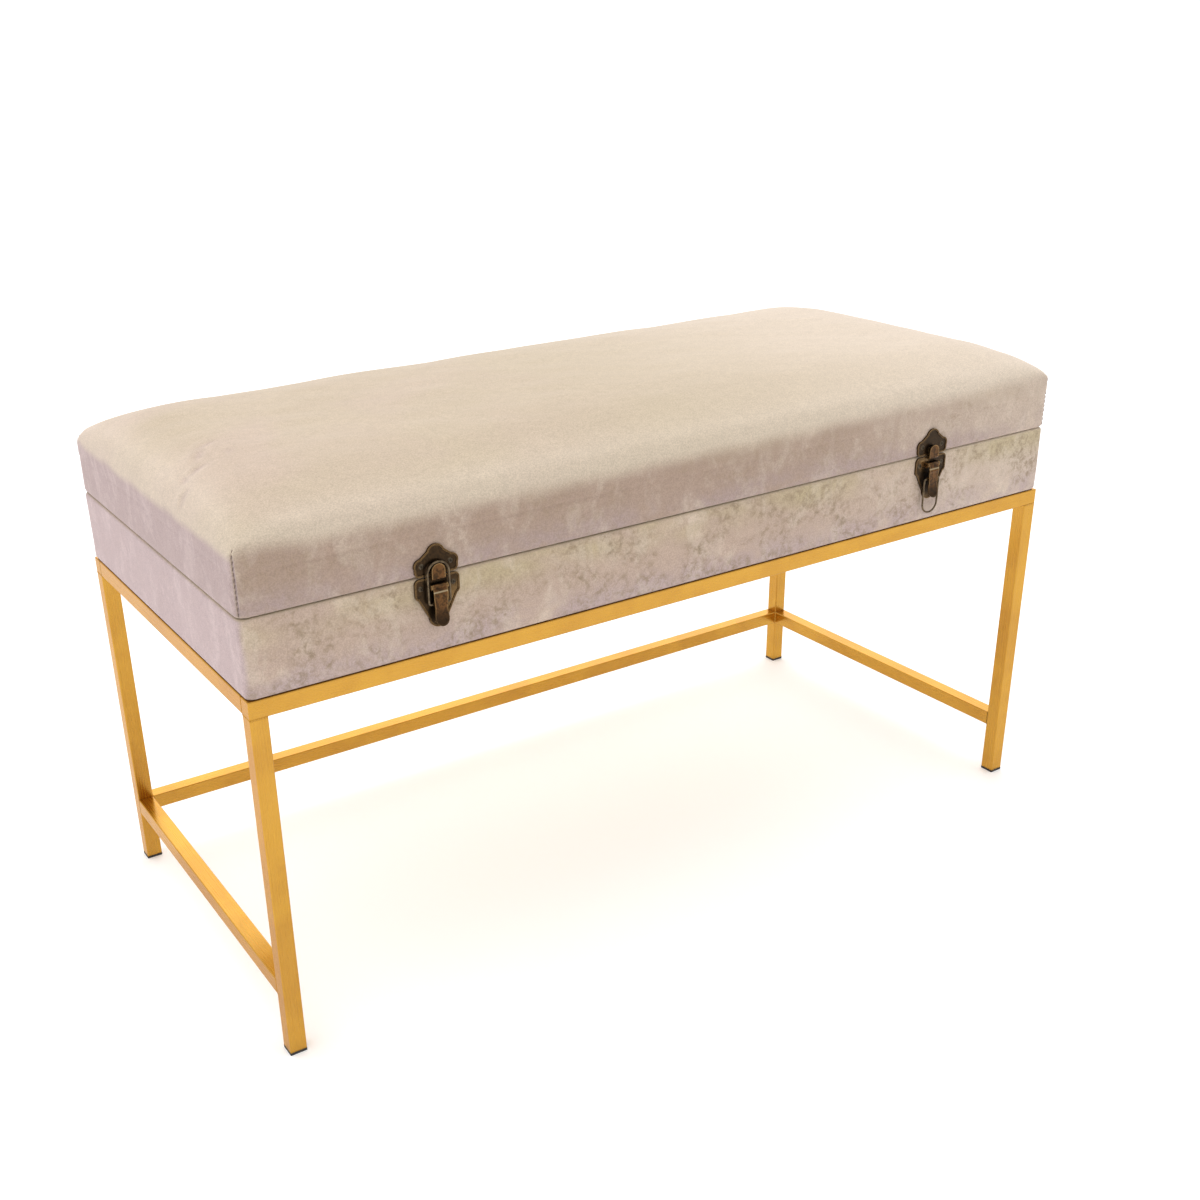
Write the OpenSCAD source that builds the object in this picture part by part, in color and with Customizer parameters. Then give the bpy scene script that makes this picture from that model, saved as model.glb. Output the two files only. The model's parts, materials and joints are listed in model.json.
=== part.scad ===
// A padded storage bench: a velvet box with a cushioned lid on a square-tube frame.
// The lid turns on two rear hinges, two folding stays carry it, and two draw latches close it.
// The origin lies on the floor under the middle of the bench: +X is right, +Y is back, +Z is up.

/* [Bench] */
// Length of the bench over the frame
bench_len = 914; // [700:1:1200]
// Depth of the bench over the frame
bench_dep = 407; // [360:1:500]
// Height of the frame's top face above the floor
frame_h = 348.5; // [280:0.5:420]
// Corner radius of the padded box and lid, seen from above
corner_r = 8; // [5:0.5:12]

/* [Frame] */
// Side of the square frame tube
tube = 16; // [15:1:22]
// Wall of the frame tube
tube_wall = 1.2; // [1:0.1:2]
// Height of the stretchers' undersides above the floor
stretcher_z = 58; // [30:1:120]
// Thickness of a foot cap under the leg
foot_t = 2.5; // [1.5:0.5:5]
// Length of a foot cap's plug inside the leg
foot_plug = 14; // [8:1:25]
// Shank radius of the screws that hold the box to the frame
frame_screw_r = 2; // [1.5:0.1:2.5]
// How far those screws bite into the box walls
frame_screw_bite = 14; // [8:1:20]
// Distance of the outer screws from the bench's ends
frame_screw_end = 62; // [40:1:100]

/* [Box] */
// Height of the box from the frame to its rim, with its cover
box_h = 68.8; // [60:0.2:140]
// Thickness of the box walls and of the lid's rails
wall_t = 12; // [12:1:18]
// Thickness of the box floor
floor_t = 9; // [6:1:12]
// Thickness of the velvet cover
cover_t = 1.2; // [0.8:0.1:2]
// Thickness of the cloth lining
lining_t = 0.8; // [0.5:0.1:1.5]

/* [Lid] */
// Gap between the box rim and the lid
lid_gap = 1; // [0.8:0.1:3]
// Height of the lid's rails
lid_rail_h = 29.5; // [26:0.5:50]
// Thickness of the lid's board
board_t = 6; // [4:0.5:12]
// Height of the velvet edge line above the lid's underside
edge_rise = 54.4; // [46:0.2:80]
// Height that the cushion's shoulders rise over the edge line
crown_h = 30.4; // [10:0.2:45]
// Distance over which the cushion rises from its ends
crown_run_x = 80; // [50:1:140]
// Distance over which the cushion rises from its front and back
crown_run_y = 101; // [60:1:150]
// Extra height of the cushion's middle
dome_h = 6.7; // [0:0.1:15]
// Fullness of the crown's curve, where 2 is a circle's
crown_power = 2.14; // [1.8:0.02:3]

/* [Hinges] */
// Distance of each hinge's middle from the end of the bench
hinge_in = 157; // [140:1:250]
// Length of a hinge
hinge_len = 60; // [50:1:80]
// Height of each hinge leaf from the pin
leaf_h = 28; // [24:1:34]
// Thickness of a hinge leaf
leaf_t = 1.6; // [1.2:0.1:1.8]
// Outer radius of a hinge knuckle
knuckle_r = 3.2; // [3:0.1:3.4]
// Radius of the hinge pin
hinge_pin_r = 1.5; // [1:0.1:1.8]
// Distance of the hinge pin behind the box's back
hinge_out = 4; // [3.8:0.1:6]
// Distance between a leaf's outer screws
hinge_screw_gap = 40; // [24:1:44]

/* [Latches] */
// Distance of each latch's middle from the end of the bench
latch_in = 172; // [80:1:250]
// Thickness of the latch plates
plate_t = 1.2; // [0.8:0.1:1.6]
// Height of the raised rim round a plate
rim_h = 0.7; // [0.3:0.1:1]
// Width of the raised rim
rim_w = 1.5; // [1:0.1:2]
// Distance of the lever's pin from the plate
pin_out = 3; // [2.8:0.1:4]
// Distance of the lever's pin below the box rim
pin_drop = 8.8; // [8:0.2:12]
// Radius of the lever's pin
pin_r = 1.2; // [0.8:0.1:1.4]
// Outer radius of the lever's knuckle
barrel_r = 2.4; // [2.2:0.1:2.6]
// Width of the lever
lever_w = 13; // [11:0.5:13]
// Thickness of the lever's sheet
lever_t = 1.2; // [0.8:0.1:1.3]
// Length of the lever from its pin to its tip
lever_len = 33.5; // [30:0.5:38]
// Distance of the bail's pivot from the lever's pin
bail_drop = 14.5; // [13:0.5:16]
// Radius of the bail's wire
wire_r = 0.95; // [0.7:0.05:1]
// Half the width between the middles of the bail's legs
bail_half = 10; // [9.8:0.1:11]
// Length of the bail from its pivot to the middle of its arch
bail_len = 36; // [35:0.5:37]
// Width of the hook that the bail goes over
hook_w = 12.5; // [9:0.5:14]
// Clearance between the latched bail and the hook
hook_gap = 0.4; // [0.3:0.1:1]
// How far the hook reaches below the box rim
hook_fall = 3; // [0:0.2:4]

/* [Stays] */
// Distance between the pivots of each stay arm
stay_arm = 125; // [90:1:135]
// Width of a stay arm
stay_w = 12; // [10:0.5:14]
// Thickness of a stay arm
stay_t = 2; // [1.5:0.1:2.5]
// Thickness of a stay's plates
stay_plate_t = 1.8; // [1.2:0.1:2.2]
// Radius of a stay's pivot pins
stay_pin_r = 2.5; // [2:0.1:3]
// Slope of the line from hinge pin to box pivot below level, in degrees
stay_fall = 10; // [9:0.5:12]
// Slope of the line from hinge pin to lid pivot above level, in degrees
stay_rise = 6; // [5.5:0.5:7]

/* [Fits] */
// Radial clearance of a pin that turns in a bore
run_fit = 0.05; // [0.03:0.01:0.09]
// Clearance of a screw or plug in its hole
loose_fit = 0.1; // [0.05:0.05:0.2]
// Gap between parts that slide past each other
side_gap = 0.3; // [0.2:0.05:0.5]

/* [Hidden] */

gold = "goldenrod";
velvet = "tan";
bronze = "saddlebrown";
steel = "silver";
ply = "burlywood";
cloth = "dimgray";

half_l = bench_len / 2;
half_d = bench_dep / 2;
hinge_x = half_l - hinge_in;
latch_x = half_l - latch_in;
tube_in = tube - 2 * tube_wall;
leg_top = frame_h - tube;

box_bottom = frame_h;
box_top = frame_h + box_h;
lid_bottom = box_top + lid_gap;
wood_in = cover_t;
inner_in = wood_in + wall_t;
wood_r = corner_r + 1;
floor_top = box_bottom + cover_t + floor_t;
rail_bottom = lid_bottom + cover_t;
rail_top = rail_bottom + lid_rail_h;
board_top = rail_top + board_t;
edge_z = lid_bottom + edge_rise;

hinge_y = half_d + hinge_out;
hinge_z = box_top + lid_gap / 2;

front_y = -half_d;
plate_y = front_y - plate_t;
pin_y = plate_y - pin_out;
pin_z = box_top - pin_drop;
bail_pivot_y = pin_y - 0.5;
bail_pivot_z = pin_z - bail_drop;
bail_lean = 0.6;
bail_top = bail_pivot_z + bail_len;

latch_screw_r = 1.4;
latch_head_r = 2.5;
latch_head_h = 1.1;
latch_screw_len = 9;
strike_screw_x = 13.4;
strike_screw_z = 9;
base_screw_x = 15.2;
base_screw_z = -9;

hinge_screw_r = 1.7;
hinge_head_r = 3.2;
hinge_head_h = 1.4;
hinge_screw_len = 10;
hinge_screw_z = leaf_h - 9;

stay_wall_x = half_l - inner_in;
box_plate_x = stay_wall_x - lining_t - stay_plate_t;
lower_arm_x = box_plate_x - side_gap - stay_t;
upper_arm_x = lower_arm_x - side_gap - stay_t;
lid_plate_x = stay_wall_x - stay_plate_t;
stay_head = 1;
stay_screw_r = 1.6;
stay_head_r = 2.9;
stay_screw_len = 9;
stay_a_y = hinge_y - stay_arm * cos(stay_fall);
stay_a_z = hinge_z - stay_arm * sin(stay_fall);
stay_b_y = hinge_y - stay_arm * cos(stay_rise);
stay_b_z = hinge_z + stay_arm * sin(stay_rise);
stay_screws_back = [11, 22];
stay_pad = 8;

// Plan outline of the padded body, drawn in by the given distance, with its corner radius
module outline(inset, r) {
    l = bench_len - 2 * inset;
    d = bench_dep - 2 * inset;
    square([l - 2 * r, d], center = true);
    square([l, d - 2 * r], center = true);
    for (sx = [-1, 1], sy = [-1, 1])
        translate([sx * (l / 2 - r), sy * (d / 2 - r)]) circle(r = r, $fn = 48);
}

// Slab of the padded body's outline from one height to another
module slab(inset, r, z0, z1) {
    translate([0, 0, z0]) linear_extrude(z1 - z0) outline(inset, r);
}

// Box given by its low corner and its high corner
module block(low, high) {
    translate(low) cube(high - low);
}

// Wood screw or machine screw: its head's underside lies at the origin and it points along -Z
module screw(r, length, head_r, head_h) {
    ball = (head_r * head_r + head_h * head_h) / (2 * head_h);
    slot = head_r / 4;
    difference() {
        union() {
            intersection() {
                translate([0, 0, head_h - ball]) sphere(r = ball, $fn = 40);
                cylinder(r = head_r, h = head_h, $fn = 40);
            }
            translate([0, 0, -length]) cylinder(r = r, h = length + head_h / 3, $fn = 24);
        }
        for (a = [0, 90])
            rotate([0, 0, a]) translate([0, 0, head_h]) cube([head_r * 1.2, slot, head_h], center = true);
    }
}

// Places of the screws between frame and box, as [x, y]
frame_screw_places = [
    for (sx = [-1, 1], sy = [-1, 1]) [sx * (half_l - frame_screw_end), sy * (half_d - tube / 2)],
    for (sx = [-1, 1], sy = [-1, 1]) [sx * half_l / 3, sy * (half_d - tube / 2)],
    for (sx = [-1, 1]) [sx * (half_l - tube / 2), 0]
];

module frame_screw_holes(z0, z1, r) {
    for (p = frame_screw_places)
        translate([p[0], p[1], z0]) cylinder(r = r, h = z1 - z0, $fn = 24);
}

// Square tube along X, closed at its ends where asked
module tube_x(length, end_wall) {
    difference() {
        cube([length, tube, tube], center = true);
        cube([end_wall ? length - 2 * tube_wall : length + 2, tube_in, tube_in], center = true);
    }
}

// Top rail along X at the front or back, with closed ends
module long_top_rail(side) {
    color(gold)
    difference() {
        translate([0, side * (half_d - tube / 2), frame_h - tube / 2]) tube_x(bench_len, true);
        frame_screw_holes(leg_top - 1, frame_h + 1, frame_screw_r + loose_fit);
    }
}

// Top rail along Y at the left or right, between the long rails
module short_top_rail(side) {
    color(gold)
    difference() {
        translate([side * (half_l - tube / 2), 0, frame_h - tube / 2])
            rotate([0, 0, 90]) tube_x(bench_dep - 2 * tube, false);
        frame_screw_holes(leg_top - 1, frame_h + 1, frame_screw_r + loose_fit);
    }
}

// Leg: an upright tube from the foot cap to the underside of the top rails
module leg(sx, sy) {
    color(gold)
    translate([sx * (half_l - tube / 2), sy * (half_d - tube / 2), foot_t])
    difference() {
        translate([-tube / 2, -tube / 2, 0]) cube([tube, tube, leg_top - foot_t]);
        translate([-tube_in / 2, -tube_in / 2, -1]) cube([tube_in, tube_in, leg_top - foot_t + 2]);
    }
}

module back_stretcher() {
    color(gold)
    translate([0, half_d - tube / 2, stretcher_z + tube / 2]) tube_x(bench_len - 2 * tube, false);
}

module side_stretcher(side) {
    color(gold)
    translate([side * (half_l - tube / 2), 0, stretcher_z + tube / 2])
        rotate([0, 0, 90]) tube_x(bench_dep - 2 * tube, false);
}

module foot_caps() {
    plug = tube_in - 2 * loose_fit;
    color("black")
    for (sx = [-1, 1], sy = [-1, 1])
        translate([sx * (half_l - tube / 2), sy * (half_d - tube / 2), 0]) {
            translate([-tube / 2, -tube / 2, 0]) cube([tube, tube, foot_t]);
            translate([-plug / 2, -plug / 2, 0]) cube([plug, plug, foot_t + foot_plug]);
        }
}

module box_frame_screws() {
    color(steel)
    for (p = frame_screw_places)
        translate([p[0], p[1], leg_top]) mirror([0, 0, 1])
            screw(frame_screw_r, tube + cover_t + floor_t + frame_screw_bite, 3.6, 2);
}

// Screw holes of the hinges, latches and stays through the box
module box_fixing_holes() {
    for (s = [-1, 1]) {
        for (x = [-1, 0, 1])
            translate([s * hinge_x + x * hinge_screw_gap / 2, half_d + 1, hinge_z - hinge_screw_z])
                rotate([90, 0, 0]) cylinder(r = hinge_screw_r + loose_fit, h = hinge_screw_len + 2, $fn = 24);
        for (x = [-1, 1])
            translate([s * latch_x + x * base_screw_x, front_y - 1, box_top + base_screw_z])
                rotate([-90, 0, 0]) cylinder(r = latch_screw_r + loose_fit, h = latch_screw_len + 1, $fn = 24);
        for (y = stay_screws_back)
            translate([s * (box_plate_x - 1), stay_a_y + y, stay_a_z])
                rotate([0, s * 90, 0]) cylinder(r = stay_screw_r + loose_fit, h = stay_screw_len + 2, $fn = 24);
    }
}

// Long box wall at the front or back
module long_wall(side) {
    y0 = half_d - inner_in;
    color(ply)
    difference() {
        intersection() {
            slab(wood_in, wood_r, floor_top, box_top - cover_t);
            if (side > 0) block([-half_l, y0, floor_top], [half_l, half_d, box_top]);
            else block([-half_l, -half_d, floor_top], [half_l, -y0, box_top]);
        }
        box_fixing_holes();
        frame_screw_holes(floor_top - 1, floor_top + frame_screw_bite + 1, frame_screw_r + loose_fit);
    }
}

// Short box wall at the left or right, between the long walls
module short_wall(side) {
    y0 = half_d - inner_in;
    x0 = half_l - inner_in;
    color(ply)
    difference() {
        if (side > 0) block([x0, -y0, floor_top], [half_l - wood_in, y0, box_top - cover_t]);
        else block([-half_l + wood_in, -y0, floor_top], [-x0, y0, box_top - cover_t]);
        box_fixing_holes();
        frame_screw_holes(floor_top - 1, floor_top + frame_screw_bite + 1, frame_screw_r + loose_fit);
    }
}

module box_bottom_panel() {
    color(ply)
    difference() {
        slab(wood_in, wood_r, box_bottom + cover_t, floor_top);
        frame_screw_holes(box_bottom, floor_top + 1, frame_screw_r + loose_fit);
    }
}

// Velvet round the box, turned in under the floor and over the rim
module box_cover() {
    color(velvet)
    difference() {
        slab(0, corner_r, box_bottom, box_top);
        slab(wood_in, corner_r - cover_t, box_bottom + cover_t, box_top - cover_t);
        block([-half_l + inner_in, -half_d + inner_in, box_bottom - 1],
              [half_l - inner_in, half_d - inner_in, box_top + 1]);
        box_fixing_holes();
        frame_screw_holes(box_bottom - 1, floor_top, frame_screw_r + loose_fit);
    }
}

// Cloth tray that lines the inside of the box
module box_lining() {
    color(cloth)
    difference() {
        block([-half_l + inner_in, -half_d + inner_in, floor_top],
              [half_l - inner_in, half_d - inner_in, box_top]);
        block([-half_l + inner_in + lining_t, -half_d + inner_in + lining_t, floor_top + lining_t],
              [half_l - inner_in - lining_t, half_d - inner_in - lining_t, box_top + 1]);
        box_fixing_holes();
    }
}

// Screw holes of the hinges, latches and stays through the lid
module lid_fixing_holes() {
    for (s = [-1, 1]) {
        for (x = [-1, 0, 1])
            translate([s * hinge_x + x * hinge_screw_gap / 2, half_d + 1, hinge_z + hinge_screw_z])
                rotate([90, 0, 0]) cylinder(r = hinge_screw_r + loose_fit, h = hinge_screw_len + 2, $fn = 24);
        for (x = [-1, 1])
            translate([s * latch_x + x * strike_screw_x, front_y - 1, lid_bottom + strike_screw_z])
                rotate([-90, 0, 0]) cylinder(r = latch_screw_r + loose_fit, h = latch_screw_len + 1, $fn = 24);
        for (y = stay_screws_back)
            translate([s * (lid_plate_x - 1), stay_b_y + y, stay_b_z])
                rotate([0, s * 90, 0]) cylinder(r = stay_screw_r + loose_fit, h = stay_screw_len + 2, $fn = 24);
    }
}

module long_lid_rail(side) {
    y0 = half_d - inner_in;
    color(ply)
    difference() {
        intersection() {
            slab(wood_in, wood_r, rail_bottom, rail_top);
            if (side > 0) block([-half_l, y0, rail_bottom], [half_l, half_d, rail_top]);
            else block([-half_l, -half_d, rail_bottom], [half_l, -y0, rail_top]);
        }
        lid_fixing_holes();
    }
}

module short_lid_rail(side) {
    y0 = half_d - inner_in;
    x0 = half_l - inner_in;
    color(ply)
    difference() {
        if (side > 0) block([x0, -y0, rail_bottom], [half_l - wood_in, y0, rail_top]);
        else block([-half_l + wood_in, -y0, rail_bottom], [-x0, y0, rail_top]);
        lid_fixing_holes();
    }
}

module lid_board() {
    color(ply) slab(wood_in, wood_r, rail_top, board_top);
}

module lid_lining() {
    color(cloth)
    block([-half_l + inner_in, -half_d + inner_in, rail_top - lining_t],
          [half_l - inner_in, half_d - inner_in, rail_top]);
}

// The cushion is a stack of rings. A ring has four mirrored quarters, each with points on
// the end, round the corner and along the side.
end_points = 2;
arc_points = 5;
side_points = 5;
quarter = end_points + arc_points + side_points;
ring_n = 4 * quarter;

// Insets of the crown's rings: close together at the edge, where it curves most
crown_rings = 7;
crown_insets = [for (k = [0 : crown_rings]) crown_run_y * (1 - cos(90 * k / crown_rings))];
middle_inset = half_d - 14;
cushion_insets = concat(crown_insets, [(crown_run_y + middle_inset) / 2, middle_inset]);

// One quarter of a ring with half sizes a and b and corner radius r
function quarter_points(a, b, r) = concat(
    [for (j = [0 : end_points - 1]) [a, (b - r) * (2 * j + 1) / (2 * end_points)]],
    [for (j = [0 : arc_points - 1]) let (t = 90 * j / (arc_points - 1))
        [a - r + r * cos(t), b - r + r * sin(t)]],
    [for (j = [side_points - 1 : -1 : 0]) [(a - r) * (2 * j + 1) / (2 * side_points), b]]
);

// Whole ring, counter-clockwise from above: its first half lies behind the middle line
function ring_points(inset) = let (
    a = half_l - inset,
    b = half_d - inset,
    r = min(corner_r + 0.35 * inset, b - 1),
    q = quarter_points(a, b, r),
    back = [for (i = [quarter - 1 : -1 : 0]) q[i]]
) concat(
    q,
    [for (p = back) [-p[0], p[1]]],
    [for (p = q) [-p[0], -p[1]]],
    [for (p = back) [p[0], -p[1]]]
);

// Rise of the crown from 0 at the edge to 1 at the end of its run
function crown_share(d, run) = pow(1 - pow(1 - min(max(d, 0) / run, 1), crown_power), 1 / crown_power);

// Height of the cushion's surface, drawn in by skin everywhere
function cushion_z(p, skin) = let (
    dx = half_l - skin - abs(p[0]),
    dy = half_d - skin - abs(p[1])
) edge_z
    + (crown_h - skin) * crown_share(dx, crown_run_x - skin) * crown_share(dy, crown_run_y - skin)
    + dome_h * (1 - pow(p[0] / half_l, 2)) * (1 - pow(p[1] / half_d, 2));

function flat_ring(inset, z) = [for (p = ring_points(inset)) [p[0], p[1], z]];
function crown_ring(inset, skin) = [for (p = ring_points(inset + skin)) [p[0], p[1], cushion_z(p, skin)]];

// Rings from the middle of the crown out to its edge
function crown_stack(skin) = let (last = len(cushion_insets) - 1)
    [for (k = [last : -1 : 1]) crown_ring(cushion_insets[k], skin)];

// Triangles across one ring: a strip between its back and front halves, and a fan over
// each straight end
function cap_faces() = let (
    n = ring_n,
    e = end_points,
    h = n / 2,
    right = e + 1,
    left = h - 2 - e
) concat(
    [for (j = [-1 - e : e - 1]) [right, (j + 1 + n) % n, (j + n) % n]],
    [[right, n - 1 - e, n - 1 - right]],
    [for (i = [right : left - 1]) each [[i, n - 1 - i, n - 2 - i], [i, n - 2 - i, i + 1]]],
    [for (j = [h - 1 - e : h - 1 + e]) [left, j + 1, j]],
    [[left, n - 1 - left, h + e]]
);

// Closed solid through a list of rings, from the middle of its top to the last one's middle.
// From ring number turned on, the walls are split along their other diagonals, so that a
// face seen from inside has the same facets as one seen from outside.
module ring_solid(rings, turned) {
    last = (len(rings) - 1) * ring_n;
    points = [for (ring = rings, p = ring) p];
    walls = [
        for (k = [0 : len(rings) - 2], i = [0 : ring_n - 1]) let (
            j = (i + 1) % ring_n,
            a = k * ring_n,
            b = a + ring_n
        ) each k < turned
            ? [[a + i, a + j, b + j], [a + i, b + j, b + i]]
            : [[a + i, a + j, b + i], [a + j, b + j, b + i]]
    ];
    under = [for (f = cap_faces()) [last + f[0], last + f[2], last + f[1]]];
    polyhedron(points = points, faces = concat(walls, cap_faces(), under));
}

// Foam block on the board, with the cushion's crown
module lid_foam() {
    skin = cover_t + side_gap;
    rings = concat(
        crown_stack(skin),
        [flat_ring(skin, edge_z), flat_ring(skin, board_top)]
    );
    color("ivory") ring_solid(rings, len(rings));
}

// Velvet over the foam and down the sides, turned in under the rails
module lid_cover() {
    hem = inner_in;
    inside = crown_stack(cover_t);
    outside = concat(
        crown_stack(0),
        [flat_ring(0, edge_z), flat_ring(0, lid_bottom)],
        [flat_ring(hem, lid_bottom), flat_ring(hem, lid_bottom + cover_t)]
    );
    color(velvet)
    ring_solid(concat(
        outside,
        [flat_ring(cover_t, lid_bottom + cover_t), flat_ring(cover_t, edge_z)],
        [for (k = [len(inside) - 1 : -1 : 0]) inside[k]]
    ), len(outside));
}

// Knuckle part of a hinge between two places along X
module knuckle(x0, x1, r) {
    translate([x0, 0, 0]) rotate([0, 90, 0]) cylinder(r = r, h = x1 - x0, $fn = 48);
}

// Hinge leaf about its pin, hanging down: the outer knuckles or the middle one are its own
module hinge_leaf(outer) {
    third = hinge_len / 3;
    own = outer
        ? [[-hinge_len / 2, -third / 2 - side_gap / 2], [third / 2 + side_gap / 2, hinge_len / 2]]
        : [[-third / 2 + side_gap / 2, third / 2 - side_gap / 2]];
    difference() {
        union() {
            translate([-hinge_len / 2, -hinge_out, -leaf_h])
                cube([hinge_len, leaf_t, leaf_h - knuckle_r - side_gap]);
            for (k = own) {
                translate([k[0], -hinge_out, -leaf_h]) cube([k[1] - k[0], leaf_t, leaf_h]);
                translate([k[0], -hinge_out, -knuckle_r]) cube([k[1] - k[0], hinge_out, knuckle_r / 2]);
                knuckle(k[0], k[1], knuckle_r);
            }
        }
        knuckle(-hinge_len, hinge_len, hinge_pin_r + run_fit);
        for (x = [-1, 0, 1])
            translate([x * hinge_screw_gap / 2, 0, -hinge_screw_z])
                rotate([90, 0, 0]) cylinder(r = hinge_screw_r + loose_fit, h = hinge_out + 1, $fn = 24);
    }
}

module hinge_box_leaf(side) {
    color(steel) translate([side * hinge_x, hinge_y, hinge_z]) hinge_leaf(true);
}

module hinge_lid_leaf(side) {
    color(steel) translate([side * hinge_x, hinge_y, hinge_z]) mirror([0, 0, 1]) hinge_leaf(false);
}

module hinge_pin(side) {
    color(steel)
    translate([side * hinge_x, hinge_y, hinge_z]) {
        knuckle(-hinge_len / 2 - 0.8, hinge_len / 2 + 0.8, hinge_pin_r);
        knuckle(-hinge_len / 2 - 1.6, -hinge_len / 2 - 0.4, hinge_pin_r + 0.7);
        knuckle(hinge_len / 2 + 0.4, hinge_len / 2 + 1.6, hinge_pin_r + 0.7);
    }
}

module hinge_screws(up) {
    color(steel)
    for (s = [-1, 1], x = [-1, 0, 1])
        translate([s * hinge_x + x * hinge_screw_gap / 2, half_d + leaf_t, hinge_z + up * hinge_screw_z])
            rotate([-90, 0, 0]) screw(hinge_screw_r, hinge_screw_len + leaf_t, hinge_head_r, hinge_head_h);
}

// Turns a plan drawn in X and Z so that it stands on the bench's front and comes out by t
module on_front(y, t) {
    translate([0, y, 0]) rotate([90, 0, 0]) linear_extrude(t) children();
}

// Outline of the strike plate over its lower edge: a crown of three round lobes
module strike_outline(e) {
    side = [14.4, 9.5];
    top = [0, 18];
    lean = [0.64, 0.77];
    for (s = [-1, 1]) {
        translate([s * side[0], side[1]]) circle(r = 6.3 - e, $fn = 48);
        translate([s * 15.8, 4.6]) circle(r = 4.4 - e, $fn = 48);
    }
    translate(top) circle(r = 8.5 - e, $fn = 64);
    translate([-15.8, 0.2 + e]) square([31.6, 9]);
    translate([-20.2 + e, 4.6]) square([40.4 - 2 * e, 4.9]);
    polygon([
        [-side[0], side[1]], [side[0], side[1]],
        side + lean * (5.2 - e), top + lean * (7.2 - e),
        [-top[0] - lean[0] * (7.2 - e), top[1] + lean[1] * (7.2 - e)],
        [-side[0] - lean[0] * (5.2 - e), side[1] + lean[1] * (5.2 - e)]
    ]);
}

// Outline of the base plate under its upper edge: square shoulders drawn in to a round end
module base_outline(e) {
    shoulder = [16.9, -15];
    tip = [0, -36.3];
    lean = [0.878, -0.478];
    for (s = [-1, 1]) {
        translate([s * shoulder[0], shoulder[1]]) circle(r = 4 - e, $fn = 48);
        translate([s * 16.4, -5]) circle(r = 4.5 - e, $fn = 48);
    }
    translate(tip) circle(r = 9 - e, $fn = 64);
    translate([-16.4, -16]) square([32.8, 15.5 - e]);
    translate([-20.9 + e, -15]) square([41.8 - 2 * e, 10]);
    polygon([
        [-shoulder[0], shoulder[1]], [shoulder[0], shoulder[1]],
        shoulder + lean * (3 - e), tip + lean * (8 - e),
        [-tip[0] - lean[0] * (8 - e), tip[1] + lean[1] * (8 - e)],
        [-shoulder[0] - lean[0] * (3 - e), shoulder[1] + lean[1] * (3 - e)]
    ]);
}

// The hook from the side, in Y and Z: a strap down from the plate, round below its edge and
// up in front. It clears the base plate under it by its seat's step.
module hook_profile() {
    lip = bail_top - wire_r - hook_gap;
    strap = 1.2;
    far = front_y - bail_pivot_y + strap / 2;
    near = plate_t + side_gap + loose_fit;
    turn = (far - near) / 2;
    mid = near + turn;
    low = box_top - hook_fall + turn;
    root = lid_bottom + 8;
    difference() {
        translate([-mid, low]) circle(r = turn, $fn = 48);
        translate([-mid, low]) circle(r = turn - strap, $fn = 48);
        translate([-far - 1, low]) square([2 * turn + 2, turn + 1]);
    }
    translate([-near - strap, low]) square([strap, root - low]);
    translate([-far, low]) square([strap, lip - low]);
    translate([-near - strap / 2, lid_bottom + 1])
        square([near + strap / 2 - plate_t / 2, root - lid_bottom - 1]);
}

// Plan of the hook as seen from the front, with its round top
module hook_front() {
    lip = bail_top - wire_r - hook_gap;
    low = lid_bottom - 8;
    r = hook_w / 2;
    square_top = lip - r;
    translate([-r, low]) square([hook_w, square_top - low]);
    translate([0, square_top]) circle(r = r, $fn = 48);
}

module strike_plate(side) {
    color(bronze)
    translate([side * latch_x, 0, 0]) {
        difference() {
            union() {
                translate([0, 0, lid_bottom]) on_front(front_y, plate_t) strike_outline(0);
                translate([0, 0, lid_bottom]) on_front(front_y, plate_t + rim_h)
                    difference() {
                        strike_outline(0);
                        strike_outline(rim_w);
                        translate([-8, -1]) square([16, 3]);
                    }
            }
            for (x = [-1, 1])
                translate([x * strike_screw_x, front_y + 1, lid_bottom + strike_screw_z])
                    rotate([90, 0, 0]) cylinder(r = latch_screw_r + loose_fit, h = 4, $fn = 24);
        }
        intersection() {
            translate([-hook_w, front_y, 0]) rotate([90, 0, 90])
                linear_extrude(2 * hook_w) hook_profile();
            on_front(front_y, 12) hook_front();
        }
    }
}

// Ear of the base plate that holds one end of the lever's pin
module pin_ear(x0, x1) {
    translate([x0, pin_y, pin_z]) rotate([0, 90, 0]) cylinder(r = barrel_r, h = x1 - x0, $fn = 48);
    block([x0, pin_y, pin_z - barrel_r], [x1, plate_y + 0.2, pin_z + barrel_r]);
}

ear_x = lever_w / 2 + side_gap;
ear_t = 1.2;

module base_plate(side) {
    color(bronze)
    translate([side * latch_x, 0, 0])
    difference() {
        union() {
            translate([0, 0, box_top]) on_front(front_y, plate_t) base_outline(0);
            translate([0, 0, box_top]) on_front(front_y, plate_t + rim_h)
                difference() {
                    base_outline(0);
                    base_outline(rim_w);
                    translate([-10, -4]) square([20, 5]);
                }
            pin_ear(-ear_x - ear_t, -ear_x);
            pin_ear(ear_x, ear_x + ear_t);
        }
        translate([-20, pin_y, pin_z]) rotate([0, 90, 0]) cylinder(r = pin_r + run_fit, h = 40, $fn = 32);
        for (x = [-1, 1])
            translate([x * base_screw_x, front_y + 1, box_top + base_screw_z])
                rotate([90, 0, 0]) cylinder(r = latch_screw_r + loose_fit, h = 4, $fn = 24);
    }
}

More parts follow.
